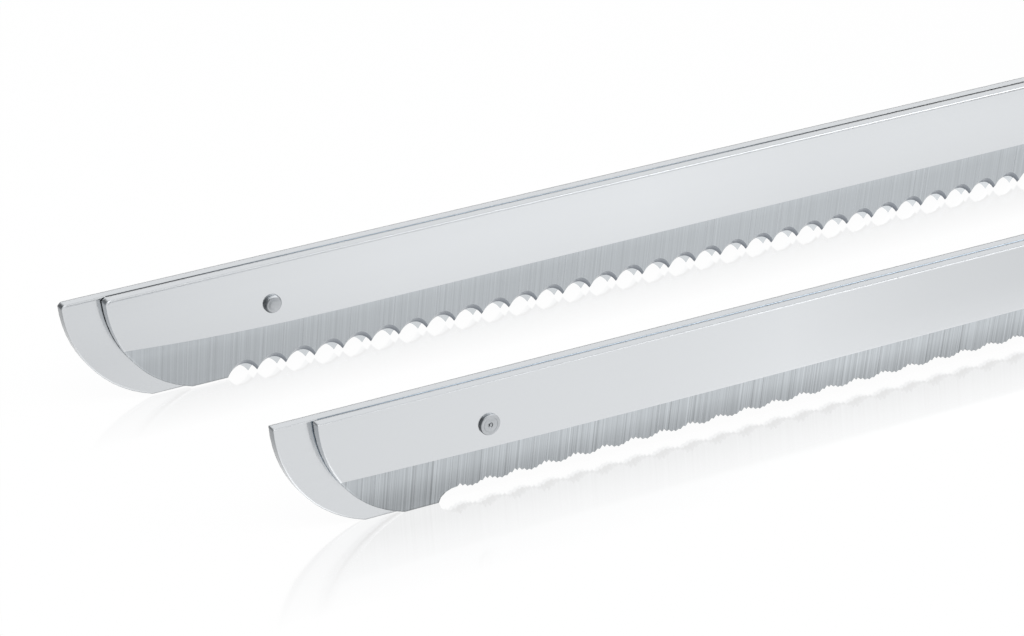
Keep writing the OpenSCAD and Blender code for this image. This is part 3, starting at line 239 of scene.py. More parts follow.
# The tones of the blades. line is the height of the bevel line, middle the plane between the two
# blades, tip the left blade's foremost point. The face, bevel and gap (the slit) tones are pairs of
# place and tone along X: painted reflection on the face and on the ground bevel, and painted shade
# in the slit. The sheen paints the face lighter up the blade, the fall paints the bevel darker
# towards its foot in shares of its height, and the walls are the painted outer and inner shade of
# the near teeth's cut faces.
COARSE = {
    "line": 0.0079,
    "middle": 0.0,
    "tip": -0.2636,
    "contrast": 0.05,
    "face": (
        (-0.27, 210), (-0.25, 217), (-0.215, 227), (-0.168, 232), (-0.135, 227), (-0.1, 227),
        (-0.05, 225),
    ),
    "painted_sheen": ((0.0079, 0.94), (0.011, 0.965), (0.0145, 0.99), (0.018, 1.0)),
    "bevel": (
        (-0.2537, 0.501), (-0.2384, 0.518), (-0.221, 0.527), (-0.194, 0.539), (-0.1473, 0.558),
        (-0.1075, 0.533),
    ),
    "painted_fall": (
        (0, 0.84), (0.3, 0.84), (0.45, 0.86), (0.6, 0.875), (0.77, 0.902), (0.83, 0.923),
        (0.89, 0.945), (1, 1),
    ),
    "gap_shade": ((-0.25, 0.06), (-0.225, 0.45), (-0.17, 0.4), (-0.14, 0.06), (-0.11, 0.01)),
    "wall_shades": ((150, 155, 162), (118, 124, 132)),
}
FINE = {
    "line": 0.0072,
    "middle": -0.0517,
    "tip": -0.2547,
    "contrast": 0.095,
    "face": (
        (-0.262, 213), (-0.24, 216), (-0.2, 220), (-0.175, 225), (-0.15, 215), (-0.125, 209),
        (-0.05, 210),
    ),
    "painted_sheen": ((0.0072, 0.99), (0.0145, 1.0)),
    "bevel": ((-0.258, 0.46), (-0.235, 0.497), (-0.21, 0.508), (-0.16, 0.535), (-0.135, 0.505)),
    "painted_fall": (
        (0, 0.7), (0.24, 0.69), (0.43, 0.745), (0.525, 0.79), (0.62, 0.84), (0.715, 0.9),
        (0.81, 0.95), (1, 1),
    ),
    "gap_shade": ((-0.25, 0.35), (-0.238, 0.6), (-0.2, 0.6), (-0.14, 0.55)),
    "wall_shades": ((96, 102, 110), (60, 66, 74)),
}
BLADE_RUN = (-0.28, 0.0)  # the stretch of X that the tones along a blade lie in
BLADE_RISE = (0.0, 0.02)
BEVEL_LEAN = -0.14  # how far the bevel's direction points down
PLAIN_RUN = 0.021  # from the tip to the first tooth
ROW_TOP = 0.005  # the teeth lie below this height
SPINE_STRIP = 0.0177  # the right blade's inner face shows above this height
TIP_STRIP = 0.0009

# painted light and shade of the narrow cut face of a tip: tones by its direction, from facing down
# (-1) over upright (0) to facing up (1)
FAR_ARC_SHADING = (
    (-1, 208), (-0.72, 192), (-0.36, 166), (-0.04, 122), (0.3, 92), (0.76, 72), (0.88, 200),
    (1, 212),
)
NEAR_ARC_SHADING = (
    (-1, 208), (-0.72, 204), (-0.36, 196), (-0.04, 174), (0.3, 122), (0.76, 82), (0.88, 200),
    (1, 212),
)
# painted highlight along the spine's edge, as tones along X
PAINTED_GLINT = ((-0.245, 184), (-0.21, 168), (-0.185, 145), (-0.12, 138))  # along the spine's edge


def blade_steel(name, blade):
    """Satin stainless steel above the bevel line, upright grinding streaks below it; its colour
    carries painted reflections, highlights and shade.
    """
    g = Graph(name)
    x, y, z = g.xyz(g.coord)
    middle, tip, contrast = blade["middle"], blade["tip"], blade["contrast"]
    geometry = g.node("ShaderNodeNewGeometry")
    ny, nz = g.xyz(geometry.outputs["True Normal"])[1:]
    flat = g.math("ABSOLUTE", ny)
    soft = g.rounded(0.0006, 8)
    rx, ry, rz = g.xyz(soft)
    ground = g.times(g.math("COMPARE", nz, BEVEL_LEAN, 0.06), g.above(flat, 0.95))

    streaks = g.noise((4200, 60, 9), 3, 0.6)
    coarse = g.noise((1900, 20, 5), 2, 0.6, (7, 3, 1))
    drift = g.noise((16, 3, 30), 2, 0.5, (2, 5, 9))
    # painted reflection on the ground bevel: tones along X, darker towards its foot, with grinding
    # streaks on it
    tone = g.times(
        g.stops(x, *BLADE_RUN, greys(blade["bevel"])),
        g.stops(g.math("DIVIDE", z, blade["line"]), 0.0, 1.0, greys(blade["painted_fall"])),
    )
    tone = g.plus(
        tone,
        g.ramp(streaks, 0.3, 0.7, -contrast, contrast),
        g.ramp(coarse, 0.3, 0.7, -0.8 * contrast, 0.8 * contrast),
        g.ramp(drift, 0.3, 0.7, -0.015, 0.015),
    )
    bevel = g.node("ShaderNodeCombineColor")
    for socket, share in zip(bevel.inputs, (0.945, 1.0, 1.045)):
        g.link(g.times(tone, share), socket)

    brushed = g.noise((22, 500, 4200), 3, 0.55, (1, 2, 3))
    cloud = g.noise((7, 30, 40), 2, 0.5, (4, 1, 8))
    # painted reflection on the face: tones along X, painted lighter up the blade
    polish = g.stops(x, *BLADE_RUN, cool(blade["face"], 2.5, 5))
    polish = g.tint(polish, g.stops(z, *BLADE_RISE, greys(blade["painted_sheen"])))
    deep = g.tint(polish, (0.955, 0.962, 0.968))
    polish = g.mix(g.ramp(brushed, 0.3, 0.7, 0, 0.14), polish, deep)
    polish = g.mix(g.ramp(cloud, 0.35, 0.7, 0, 0.3), polish, deep)
    colour = g.mix(ground, polish, bevel.outputs[0])

    # narrow cut faces, painted light and shade: the spine painted light, the tip arc painted darker
    # the more upright it stands, the nipped corner painted dark, and a painted highlight along the
    # spine's edge
    side = g.math("SQRT", g.plus(g.times(rx, rx), g.times(rz, rz)))
    up = g.math("DIVIDE", rz, g.math("MAXIMUM", side, 0.001))
    near = g.below(y, middle)
    turn = g.mix(near, *(g.stops(up, -1, 1, cool(arc, 3, 6)) for arc in (FAR_ARC_SHADING, NEAR_ARC_SHADING)))
    row = g.times(g.above(x, tip + PLAIN_RUN), g.below(z, ROW_TOP))
    edge = g.times(g.ramp(g.math("ABSOLUTE", ry), 0.72, 0.36), g.rest_of(row))
    colour = g.mix(edge, colour, turn)
    # where the painted highlight lies: a thin band along the spine's edge
    painted_glint_mask = g.math("MULTIPLY", g.times(edge, g.rest_of(edge)), 4.0, clamp=True)
    painted_glint_mask = g.times(painted_glint_mask, g.above(up, 0.93))
    colour = g.mix(painted_glint_mask, colour, g.stops(x, *BLADE_RUN, cool(PAINTED_GLINT, 3, 7)))

    # cut faces of the teeth: painted shade on the near blade, darker still along its inner side,
    # and painted light on the far blade
    outer_wall_shade, inner_wall_shade = (rgb(*tones) for tones in blade["wall_shades"])
    wall_shade = g.mix(g.ramp(y, middle - 0.0007, middle - 0.00015), outer_wall_shade, inner_wall_shade)
    wall_shade = g.mix(near, rgb(206, 210, 213), wall_shade)
    colour = g.mix(g.times(g.below(flat, 0.93), row), colour, wall_shade)

    # painted shade in the slit between the two blades, on the left one's inner face and the right
    # one's upper strip, painted lighter low down; the right one's inner face among the teeth gets a
    # lighter painted shade
    left_inner = g.times(g.above(ny, 0.9), near)
    right_inner = g.times(g.below(ny, -0.9), g.above(y, middle))
    colour = g.mix(g.times(right_inner, row), colour, rgb(208, 212, 215))
    strip = g.times(right_inner, g.above(z, SPINE_STRIP), g.above(x, tip + TIP_STRIP))
    slit_shade = g.tint(g.stops(x, *BLADE_RUN, greys(blade["gap_shade"])), (0.85, 1.0, 1.15))
    slit_shade = g.mix(g.ramp(z, 0.004, 0.009), rgb(190, 194, 198), slit_shade)
    colour = g.mix(g.math("MAXIMUM", left_inner, strip), colour, slit_shade)

    face_rough = g.ramp(brushed, 0.3, 0.7, 0.16, 0.2)
    relief = g.plus(g.times(streaks, ground), g.times(g.rest_of(ground), brushed, 0.04))
    normal = g.between(row, soft, geometry.outputs["Normal"])
    return g.set(
        Base_Color=colour,
        Metallic=1.0,
        Roughness=g.lerp(ground, face_rough, g.ramp(streaks, 0.3, 0.7, 0.26, 0.36)),
        Normal=g.bump(relief, 0.0000025, 0.8, normal),
    )


# painted light and shade of a rivet head: tones by how far its surface faces left (-1) or right (1)
RIVET_SHADING = (
    (-1, 40), (-0.6, 58), (-0.24, 128), (-0.08, 186), (0.04, 196), (0.24, 190), (0.6, 160),
    (1, 136),
)


def rivet_metal(name):
    """Turned rivet heads with fine pits: a face painted light and a rim painted in shade towards
    the left.
    """
    g = Graph(name)
    nx = g.xyz(g.node("ShaderNodeNewGeometry").outputs["True Normal"])[0]
    fine = g.noise((2600, 2600, 2600), 3, 0.6)
    cloud = g.noise((700, 700, 700), 2, 0.5, (3, 1, 4))
    shade = g.stops(nx, -1, 1, cool(RIVET_SHADING, 3, 6))
    shade = g.mix(g.ramp(fine, 0.3, 0.75, 0, 0.35), shade, rgb(150, 154, 158))
    shade = g.mix(g.ramp(cloud, 0.4, 0.75, 0, 0.2), shade, rgb(176, 179, 183))
    return g.set(
        Base_Color=shade,
        Metallic=1.0,
        Roughness=g.ramp(fine, 0.3, 0.7, 0.3, 0.42),
        Normal=g.bump(fine, 0.000004, 0.6, g.rounded(0.00008)),
    )


# Other materials


def metal(name, colour, dark, rough, grain, bump=0.000004, radius=0.0002, spread=0.06):
    """Bare metal with a grain in the given directions, small stains and rounded edges."""
    g = Graph(name)
    lines = g.noise(grain, 4, 0.6)
    cloud = g.noise((60, 60, 60), 3, 0.55, (3, 1, 4))
    tint = g.mix(g.ramp(lines, 0.25, 0.75), dark, colour)
    tint = g.mix(g.ramp(cloud, 0.35, 0.75, 0, 0.3), tint, dark)
    return g.set(
        Base_Color=tint,
        Metallic=1.0,
        Roughness=g.ramp(lines, 0.25, 0.75, rough - spread, rough + spread),
        Normal=g.bump(lines, bump, 0.7, g.rounded(radius)),
    )


def plastic(name, colour, rough, speck=1400, bump=0.00002, shift=0.12, radius=0.00025, coat=0.0):
    """Moulded plastic: a fine eroded texture, slow tone changes and worn, shinier edges."""
    g = Graph(name)
    fine = g.noise((speck, speck, speck), 2, 0.5)
    cloud = g.noise((35, 35, 35), 3, 0.5, (5, 2, 6))
    light = tuple(min(1, c * (1 + shift) + 0.004) for c in colour)
    deep = tuple(c * (1 - shift) for c in colour)
    base = g.mix(g.ramp(cloud, 0.3, 0.7), deep, light)
    base = g.mix(g.ramp(fine, 0.35, 0.75, 0, 0.25), base, light)
    worn = g.math("SUBTRACT", rough, g.ramp(cloud, 0.45, 0.75, 0, 0.06))
    return g.set(
        Base_Color=base,
        Roughness=g.plus(worn, g.ramp(fine, 0.3, 0.7, -0.04, 0.04)),
        Normal=g.bump(fine, bump, 0.5, g.rounded(radius)),
        Coat_Weight=coat,
        Coat_Roughness=0.2,
    )


def rubber(name, colour):
    """Dull rubber with a little dust on it."""
    g = Graph(name)
    fine = g.noise((2200, 2200, 2200), 2, 0.5)
    dust = g.noise((180, 180, 180), 4, 0.6, (2, 2, 2))
    dusty = tuple(c * 1.6 + 0.01 for c in colour)
    return g.set(
        Base_Color=g.mix(g.ramp(dust, 0.5, 0.8, 0, 0.35), colour, dusty),
        Roughness=g.ramp(fine, 0.3, 0.7, 0.72, 0.86),
        Specular_IOR_Level=0.35,
        Normal=g.bump(fine, 0.00003, 0.6, g.rounded(0.0002)),
    )


def wound(name, colour, dark, turns):
    """Lacquered winding wire: fine rounds side by side across the given axes, with painted shade in
    the creases between them.
    """
    g = Graph(name)
    place = g.node("ShaderNodeMapping")
    place.inputs["Scale"].default_value = turns
    g.tree.links.new(g.coord, place.inputs["Vector"])
    wave = g.node(
        "ShaderNodeTexWave", wave_type="BANDS", bands_direction="X", wave_profile="SIN"
    )
    g.tree.links.new(place.outputs[0], wave.inputs["Vector"])
    wave.inputs["Scale"].default_value = 1.0
    wave.inputs["Distortion"].default_value = 1.5
    rounds = wave.outputs["Fac"]
    normal = g.node("ShaderNodeNewGeometry").outputs["Normal"]
    # the dark colour between the rounds is painted shade in their creases
    return g.set(
        Base_Color=g.mix(rounds, dark, colour),
        Metallic=0.8,
        Roughness=0.35,
        Normal=g.bump(rounds, 0.0001, 0.8, normal),
    )


BODY = (0.030, 0.031, 0.035)
RED = (0.42, 0.022, 0.016)
GLOSSY_RED = {"colour": RED, "rough": 0.33, "speck": 2200, "bump": 0.000008, "coat": 0.25}


def even_grain(scale):
    return (scale, scale, scale)


MATS = {
    "coarse_steel": blade_steel("coarse_steel", COARSE),
    "fine_steel": blade_steel("fine_steel", FINE),
    "rivet_steel": rivet_metal("rivet_steel"),
    "shank_plastic": plastic("shank_plastic", BODY, 0.46),
    "carrier_plastic": plastic("carrier_plastic", rgb(222, 218, 204), 0.42, shift=0.05),
    "guide_plastic": plastic("guide_plastic", rgb(176, 152, 104), 0.45, shift=0.07),
    "frame_metal": metal(
        "frame_metal", rgb(196, 199, 204), rgb(150, 154, 160), 0.48, even_grain(420),
        bump=0.00003, radius=0.0004,
    ),
    "axle_steel": metal(
        "axle_steel", rgb(212, 215, 219), rgb(158, 163, 168), 0.22, (5000, 200, 200)
    ),
    "wheel_plastic": plastic("wheel_plastic", rgb(232, 228, 214), 0.38, shift=0.04),
    "core_steel": metal(
        "core_steel", rgb(150, 154, 162), rgb(92, 95, 102), 0.4, (2400, 30, 30), bump=0.00002
    ),
    "copper": wound("copper", rgb(206, 124, 74), rgb(120, 58, 32), (2600, 900, 900)),
    "commutator_copper": metal(
        "commutator_copper", rgb(210, 140, 96), rgb(140, 84, 52), 0.3, (2600, 60, 60)
    ),
    "fan_plastic": plastic("fan_plastic", (0.035, 0.035, 0.04), 0.4),
    "bronze": metal(
        "bronze", rgb(196, 166, 112), rgb(136, 110, 70), 0.42, even_grain(1200), bump=0.00001
    ),
    "holder_brass": metal(
        "holder_brass", rgb(222, 190, 120), rgb(160, 128, 70), 0.3, (200, 3000, 3000)
    ),
    "carbon": plastic("carbon", (0.02, 0.02, 0.022), 0.6),
    "spring_steel": metal(
        "spring_steel", rgb(190, 194, 200), rgb(120, 124, 130), 0.3, even_grain(2500)
    ),
    "switch_plastic": plastic("switch_plastic", (0.02, 0.02, 0.022), 0.4),
    "plunger_plastic": plastic("plunger_plastic", RED, 0.35),
    "trigger_plastic": plastic("trigger_plastic", **GLOSSY_RED),
    "button_plastic": plastic("button_plastic", **GLOSSY_RED),
    "bracket_steel": metal(
        "bracket_steel", rgb(198, 202, 207), rgb(150, 154, 160), 0.34, (120, 2600, 2600)
    ),
    "capacitor_film": plastic("capacitor_film", rgb(222, 184, 84), 0.3, shift=0.05),
    "terminal_plastic": plastic("terminal_plastic", rgb(228, 225, 214), 0.4, shift=0.04),
    "wire_insulation": plastic("wire_insulation", rgb(58, 92, 168), 0.4),
    "housing_plastic": plastic("housing_plastic", BODY, 0.5, radius=0.0003),
    "trim_steel": metal(
        "trim_steel", rgb(216, 219, 222), rgb(190, 194, 198), 0.3, (18, 2600, 2600),
        bump=0.000003, radius=0.00025, spread=0.04,
    ),
    "grip_rubber": rubber("grip_rubber", (0.012, 0.012, 0.013)),
    "foot_rubber": rubber("foot_rubber", (0.014, 0.014, 0.014)),
    "inlet_rubber": rubber("inlet_rubber", (0.012, 0.012, 0.013)),
    "screw_steel": metal(
        "screw_steel", rgb(196, 200, 206), rgb(128, 132, 138), 0.3, even_grain(1800)
    ),
}


def paint(obj, kind):
    if not obj.material_slots:
        obj.data.materials.append(MATS[kind])
    for s in obj.material_slots:
        s.material = MATS[kind]


for name, obj in nodes.items():
    kind = slots[name]
    if kind == "blade_steel":
        kind = "coarse_steel" if name.startswith("carving") else "fine_steel"
    paint(obj, kind)


# Mesh helpers, in millimetres


def smooth_below(obj, degrees):
    obj.data.shade_smooth()
    obj.data.set_sharp_from_angle(angle=math.radians(degrees))


def new_object(name, bm, kind=None, smooth=30):
    """An object from a bmesh; kind names its material."""
    bmesh.ops.recalc_face_normals(bm, faces=bm.faces)
    mesh = bpy.data.meshes.new(name)
    bm.to_mesh(mesh)
    bm.free()
    obj = bpy.data.objects.new(name, mesh)
    scene.collection.objects.link(obj)
    if kind:
        mesh.materials.append(MATS[kind])
    smooth_below(obj, smooth)
    return obj


def vertex(bm, point):
    return bm.verts.new(Vector(point) * MM)


def closed_loft(rings):
    """A closed solid over rings of equally many points."""
    bm = bmesh.new()
    loops = [[vertex(bm, p) for p in ring] for ring in rings]
    n = len(loops[0])
    for a, b in zip(loops, loops[1:]):
        for c in range(n):
            bm.faces.new((a[c], a[(c + 1) % n], b[(c + 1) % n], b[c]))
    bm.faces.new(loops[0])
    bm.faces.new(loops[-1])
    return bm


def grid_solid(outer, inner):
    """A closed solid between two grids of the same rows and columns."""
    bm = bmesh.new()
    rows, cols = len(outer), len(outer[0])
    sheets = [[[vertex(bm, p) for p in row] for row in grid] for grid in (outer, inner)]
    for r in range(rows - 1):
        for c in range(cols - 1):
            for g in sheets:
                bm.faces.new((g[r][c], g[r + 1][c], g[r + 1][c + 1], g[r][c + 1]))
    o, i = sheets
    for r in range(rows - 1):
        for c in (0, cols - 1):
            bm.faces.new((o[r][c], o[r + 1][c], i[r + 1][c], i[r][c]))
    for c in range(cols - 1):
        for r in (0, rows - 1):
            bm.faces.new((o[r][c], o[r][c + 1], i[r][c + 1], i[r][c]))
    return bm


def add_box(bm, low, high):
    corners = [
        vertex(bm, (x, y, z))
        for x in (low[0], high[0])
        for y in (low[1], high[1])
        for z in (low[2], high[2])
    ]
    sides = ((0, 1, 3, 2), (4, 6, 7, 5), (0, 4, 5, 1), (2, 3, 7, 6), (0, 2, 6, 4), (1, 5, 7, 3))
    for side in sides:
        bm.faces.new([corners[i] for i in side])


def rounded_rect(w, h, r, du=0.0, dv=0.0, n=6):
    """The outline of a rectangle with rounded corners; its lower corner is at (du, dv)."""
    pts = []
    for cx, cy, start in ((w - r, h - r, 0), (r, h - r, 90), (r, r, 180), (w - r, r, 270)):
        for i in range(n + 1):
            a = math.radians(start + 90 * i / n)
            pts.append((du + cx + r * math.cos(a), dv + cy + r * math.sin(a)))
    return pts


def circle(r, n, cu=0.0, cv=0.0):
    angles = [TURN * i / n for i in range(n)]
    return [(cu + r * math.cos(a), cv + r * math.sin(a)) for a in angles]


def prism(bm, outline, place, low, high):
    """An outline of (u, v) points swept from low to high; place turns (u, v, w) into x, y, z."""
    rings = [[vertex(bm, place(u, v, w)) for u, v in outline] for w in (low, high)]
    n = len(outline)
    for i in range(n):
        bm.faces.new((rings[0][i], rings[0][(i + 1) % n], rings[1][(i + 1) % n], rings[1][i]))
    bm.faces.new(rings[0])
    bm.faces.new(rings[1])


def along_x(u, v, w):
    return (w, u, v)


def along_y(side):
    return lambda u, v, w: (u, side * w, v)


def along_z(u, v, w):
    return (u, v, w)


def boolean(obj, cutter_bm, operation="DIFFERENCE"):
    """Cuts, joins or clips obj with the solids of a bmesh and keeps the result in its mesh."""
    bmesh.ops.recalc_face_normals(cutter_bm, faces=cutter_bm.faces)
    mesh = bpy.data.meshes.new("cutter")
    cutter_bm.to_mesh(mesh)
    cutter_bm.free()
    tool = bpy.data.objects.new("cutter", mesh)
    scene.collection.objects.link(tool)
    mod = obj.modifiers.new("cut", "BOOLEAN")
    mod.operation = operation
    mod.object = tool
    mod.solver = "MANIFOLD"
    bpy.context.view_layer.update()
    deps = bpy.context.evaluated_depsgraph_get()
    result = bpy.data.meshes.new_from_object(obj.evaluated_get(deps))
    old = obj.data
    obj.modifiers.clear()
    obj.data = result
    bpy.data.meshes.remove(old)
    bpy.data.objects.remove(tool)
    bpy.data.meshes.remove(mesh)


def finish_cuts(obj, kind, smooth=28):
    paint(obj, kind)
    smooth_below(obj, smooth)


# Skin of the handle

FRONT, LENGTH, HEIGHT, WIDTH = -47.0, 211.0, 62.5, 46.0
REAR = FRONT + LENGTH
WALL = 2.2
DRIVE_Z = 10.9
FLOOR_GAP = 1.0  # the housing ends this high above the table
GROOVE = 0.28  # depth of the groove along the parting line
# Stations along the handle: place as a share of its length, underside and top as shares of its
# height, half width as a share of its width, and the power of the section's rounding
SHARES = [
    (0, 0.01, 0.43, 0.35, 5),
    (0.12, 0.003, 0.768, 0.41, 4),
    (0.235, 0.003, 0.89, 0.48, 3.4),
    (0.355, 0.003, 0.97, 0.5, 3),
    (0.44, 0.272, 0.993, 0.485, 2.7),
    (0.58, 0.275, 1, 0.467, 2.6),
    (0.725, 0.272, 0.985, 0.467, 2.7),
    (0.83, 0.003, 0.93, 0.49, 3),
    (0.93, 0.003, 0.82, 0.467, 3),
    (1, 0.08, 0.7, 0.4, 3),
]
KEYS = [
    (FRONT + place * LENGTH, low * HEIGHT, high * HEIGHT, half * WIDTH, power)
    for place, low, high, half, power in SHARES
]


def value(x, j):
    """Column j of the stations at x, on a smooth curve that never overshoots."""
    i = 0
    while i < len(KEYS) - 2 and x >= KEYS[i + 1][0]:
        i += 1

    def rise(k):
        return (KEYS[k + 1][j] - KEYS[k][j]) / (KEYS[k + 1][0] - KEYS[k][0])

    def slope(k):
        if k == 0 or k == len(KEYS) - 1 or rise(k - 1) * rise(k) <= 0:
            return 0.0
        return 2 * rise(k - 1) * rise(k) / (rise(k - 1) + rise(k))

    d = KEYS[i + 1][0] - KEYS[i][0]
    t = min(max((x - KEYS[i][0]) / d, 0), 1)
    return (
        (1 + 2 * t) * (1 - t) ** 2 * KEYS[i][j]
        + t * (1 - t) ** 2 * d * slope(i)
        + t * t * (3 - 2 * t) * KEYS[i + 1][j]
        + t * t * (t - 1) * d * slope(i + 1)
    )


def skin_point(x, turn, lift, station=None):
    """A point of the section at x, or at another station, lifted off the skin."""
    s = x if station is None else station
    low, high, half, n = (value(s, j) for j in (1, 2, 3, 4))
    p = 2 / n
    c, v = math.cos(turn), math.sin(turn)
    return (
        x,
        (half + lift) * math.copysign(abs(c) ** p, c),
        (high + low) / 2 + ((high - low) / 2 + lift) * math.copysign(abs(v) ** p, v),
    )


def skin_y(x, z):
    """Half the handle's width at x and height z."""
    low, high, half, n = (value(x, j) for j in (1, 2, 3, 4))
    m, h = (high + low) / 2, (high - low) / 2
    return half * (1 - min(1, abs((z - m) / h)) ** n) ** (1 / n)


def turns_between(x, turn0, turn1, count):
    """Angles that split the section at x into stretches of even length."""
    fine = 360
    angles = [turn0 + (turn1 - turn0) * i / fine for i in range(fine + 1)]
    pts = [skin_point(x, a, 0) for a in angles]
    run = [0.0]
    for a, b in zip(pts, pts[1:]):
        run.append(run[-1] + math.dist(a, b))
    out, k = [], 0
    for i in range(count + 1):
        want = run[-1] * i / count
        while k < fine - 1 and run[k + 1] < want:
            k += 1
        step = run[k + 1] - run[k]
        share = (want - run[k]) / step if step else 0
        out.append(angles[k] + (angles[k + 1] - angles[k]) * share)
    return out


def half_shell(side, rows=118, cols=44, lip=0.12):
    """One half of the housing with a fine groove along the parting line."""
    turn0 = math.radians(90 if side < 0 else -90)
    outer, inner = [], []
    for r in range(rows + 1):
        x = FRONT + LENGTH * r / rows
        turns = turns_between(x, turn0, turn0 + math.pi, cols)
        first, last = turns[0], turns[-1]
        turns = [
            first + lip * (turns[1] - first), *turns[1:-1], last - lip * (last - turns[-2])
        ]
        outer.append(
            [skin_point(x, first, -GROOVE)]
            + [skin_point(x, a, 0) for a in turns]
            + [skin_point(x, last, -GROOVE)]
        )
        inner.append([skin_point(x, a, -WALL) for a in (first, *turns, last)])
    return grid_solid(outer, inner)


def outer_volume(rows=60, cols=72, sunk=-0.4):
    """The housing's outside as one closed solid, a little below the skin."""
    rings = []
    for r in range(rows + 1):
        x = FRONT + LENGTH * r / rows
        rings.append([skin_point(x, TURN * c / cols, sunk) for c in range(cols)])
    return closed_loft(rings)


# Housing

SCREWS = [(-34, 24.5), (2, 48.7), (97, 24.6), (124, 12), (150, 42)]  # x and z
SCREW_HOLE_R = 1.5
HEAD_HOLE_R = 2.9
HEAD_HOLE_DEEP = 4.1
LEFT_HOLE_END = 11  # the holes in the left half end here along Y
BOSS_R = {-1: 3.4, 1: 4.2}  # radius of the screw bosses in the left and the right half
BUTTON_X = -35.0
BUTTON_CAP = (11.6, 8.6, 3.3)  # length, height and corner radius of the button's opening
CAP_INSIDE = 13.4  # and the cut for it starts here along Y
FLANGE_ROOM = (9.4, 13.9)  # the room for the button's flange, from and to along Y
FLANGE_HALF = (7, 5.5)  # half the length and half the height of that room
VENT = (1.8, 14, 0.85)  # width, height and corner radius
VENTS = ((5, 118.05, 5, 20, 14), (3, 21.05, 3.5, 32, 16))  # count, first x, pitch, z, inner y
OUTSIDE = 46  # cuts run out to here
SLIDER_SLOT = (12.6, 4.6, 0.6, 55, -2.3)  # length, width, corner radius, lowest x and y
SLIDER_SLOT_Z = (55, 70)
TRIGGER_SLOT = (13.2, 13.4, 1.5, -6.6, 3.2)  # width, height, corner radius, lowest y and z
TRIGGER_SLOT_X = (29, 48)
BLADE_MOUTH = ((-48, -9.5, 2.8), (-23.7, 9.5, 19.0))


def trim_underside(obj, x0, x1):
    """Takes away what lies lower than the housing's underside between x0 and x1."""
    cut = bmesh.new()
    add_box(cut, (x0, -40, -10), (x1, 40, FLOOR_GAP))
    boolean(obj, cut)


def build_housing(side, name, node):
    obj = new_object(name, half_shell(side), "housing_plastic")
    place = along_y(side)

    bosses = bmesh.new()
    for x, z in SCREWS:
        prism(bosses, circle(BOSS_R[side], 40, x, z), place, 0.0, skin_y(x, z) + 2)
    clip = new_object("bosses", bosses)
    boolean(clip, outer_volume(), "INTERSECT")
    joined = bmesh.new()
    joined.from_mesh(clip.data)
    bpy.data.objects.remove(clip)
    boolean(obj, joined, "UNION")

    trim_underside(obj, -70, 180)

    # opening of the release button and the room for its flange
    cap_l, cap_h, cap_r = BUTTON_CAP
    cap = rounded_rect(cap_l, cap_h, cap_r, BUTTON_X - cap_l / 2, DRIVE_Z - cap_h / 2)
    near, far = sorted(side * y for y in FLANGE_ROOM)
    half_l, half_h = FLANGE_HALF
    cut = bmesh.new()
    prism(cut, cap, place, CAP_INSIDE, OUTSIDE)
    low = (BUTTON_X - half_l, near, DRIVE_Z - half_h)
    high = (BUTTON_X + half_l, far, DRIVE_Z + half_h)
    add_box(cut, low, high)
    boolean(obj, cut)

    # vents, slot of the safety slider, opening of the trigger and mouth for the blades
    cut = bmesh.new()
    for count, first, pitch, z, inside in VENTS:
        for i in range(count):
            prism(cut, rounded_rect(*VENT, first + pitch * i, z, 4), place, inside, OUTSIDE)
    prism(cut, rounded_rect(*SLIDER_SLOT, 4), along_z, *SLIDER_SLOT_Z)
    prism(cut, rounded_rect(*TRIGGER_SLOT, 4), along_x, *TRIGGER_SLOT_X)
    add_box(cut, *BLADE_MOUTH)
    boolean(obj, cut)

    # screw holes, with a recess for the head in the right half
    cut = bmesh.new()
    for x, z in SCREWS:
        skin = skin_y(x, z)
        prism(cut, circle(SCREW_HOLE_R, 32, x, z), place, -1, skin if side > 0 else LEFT_HOLE_END)
        if side > 0:
            prism(cut, circle(HEAD_HOLE_R, 40, x, z), place, skin - HEAD_HOLE_DEEP, skin + 6)
    boolean(obj, cut)
    finish_cuts(obj, "housing_plastic")
    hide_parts(node)
    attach(obj, "handle")


build_housing(-1, "housing_left_shell", "housing_left")
build_housing(1, "housing_right_shell", "housing_right")


# Screws

HEAD_SINK = 2.1  # a head's top below the skin
SCREW_SHAFT = [(-10.0, 0.4), (-9.0, 1.35)]  # place along Y and radius
SCREW_HEAD = [(1.99, 1.35), (1.99, 2.6), (1.7, 2.78)]  # depth below the top and radius
DOME_DEEP, DOME_REACH, FLAT_R = 1.3, 1.58, 1.2  # the head's round top, and the flat in it
CROSS_WIDE, CROSS_THIN, CROSS_DEEP = 1.5, 0.36, 1.2


def screw(bm, x, z):
    """A pan-head screw along Y with its head in the right half's recess; gives its top."""
    top = skin_y(x, z) - HEAD_SINK
    rings = SCREW_SHAFT + [(top - deep, r) for deep, r in SCREW_HEAD]
    for degrees in (5, 35, 60, 78, 90):
        a = math.radians(degrees)
        place = top - DOME_DEEP + DOME_DEEP * math.sin(a)
        rings.append((place, FLAT_R + DOME_REACH * math.cos(a)))
    part = closed_loft([[(u, y, v) for u, v in circle(r, 40, x, z)] for y, r in rings])
    mesh = bpy.data.meshes.new("screw")
    part.to_mesh(mesh)
    part.free()
    bm.from_mesh(mesh)
    bpy.data.meshes.remove(mesh)
    return top


heads = bmesh.new()
recess = bmesh.new()
for x, z in SCREWS:
    top = screw(heads, x, z)
    wide, thin = CROSS_WIDE, CROSS_THIN
    cross = [(wide, thin), (thin, thin), (thin, wide), (-thin, wide), (-thin, thin), (-wide, thin)]
    cross += [(-a, -b) for a, b in cross]
    prism(recess, [(x + a, z + b) for a, b in cross], along_y(1), top - CROSS_DEEP, top + 2)
screws = new_object("screws_cross_head", heads, "screw_steel")
boolean(screws, recess)
finish_cuts(screws, "screw_steel", 30)
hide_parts("housing_screws")
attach(screws, "handle")


# Rivets


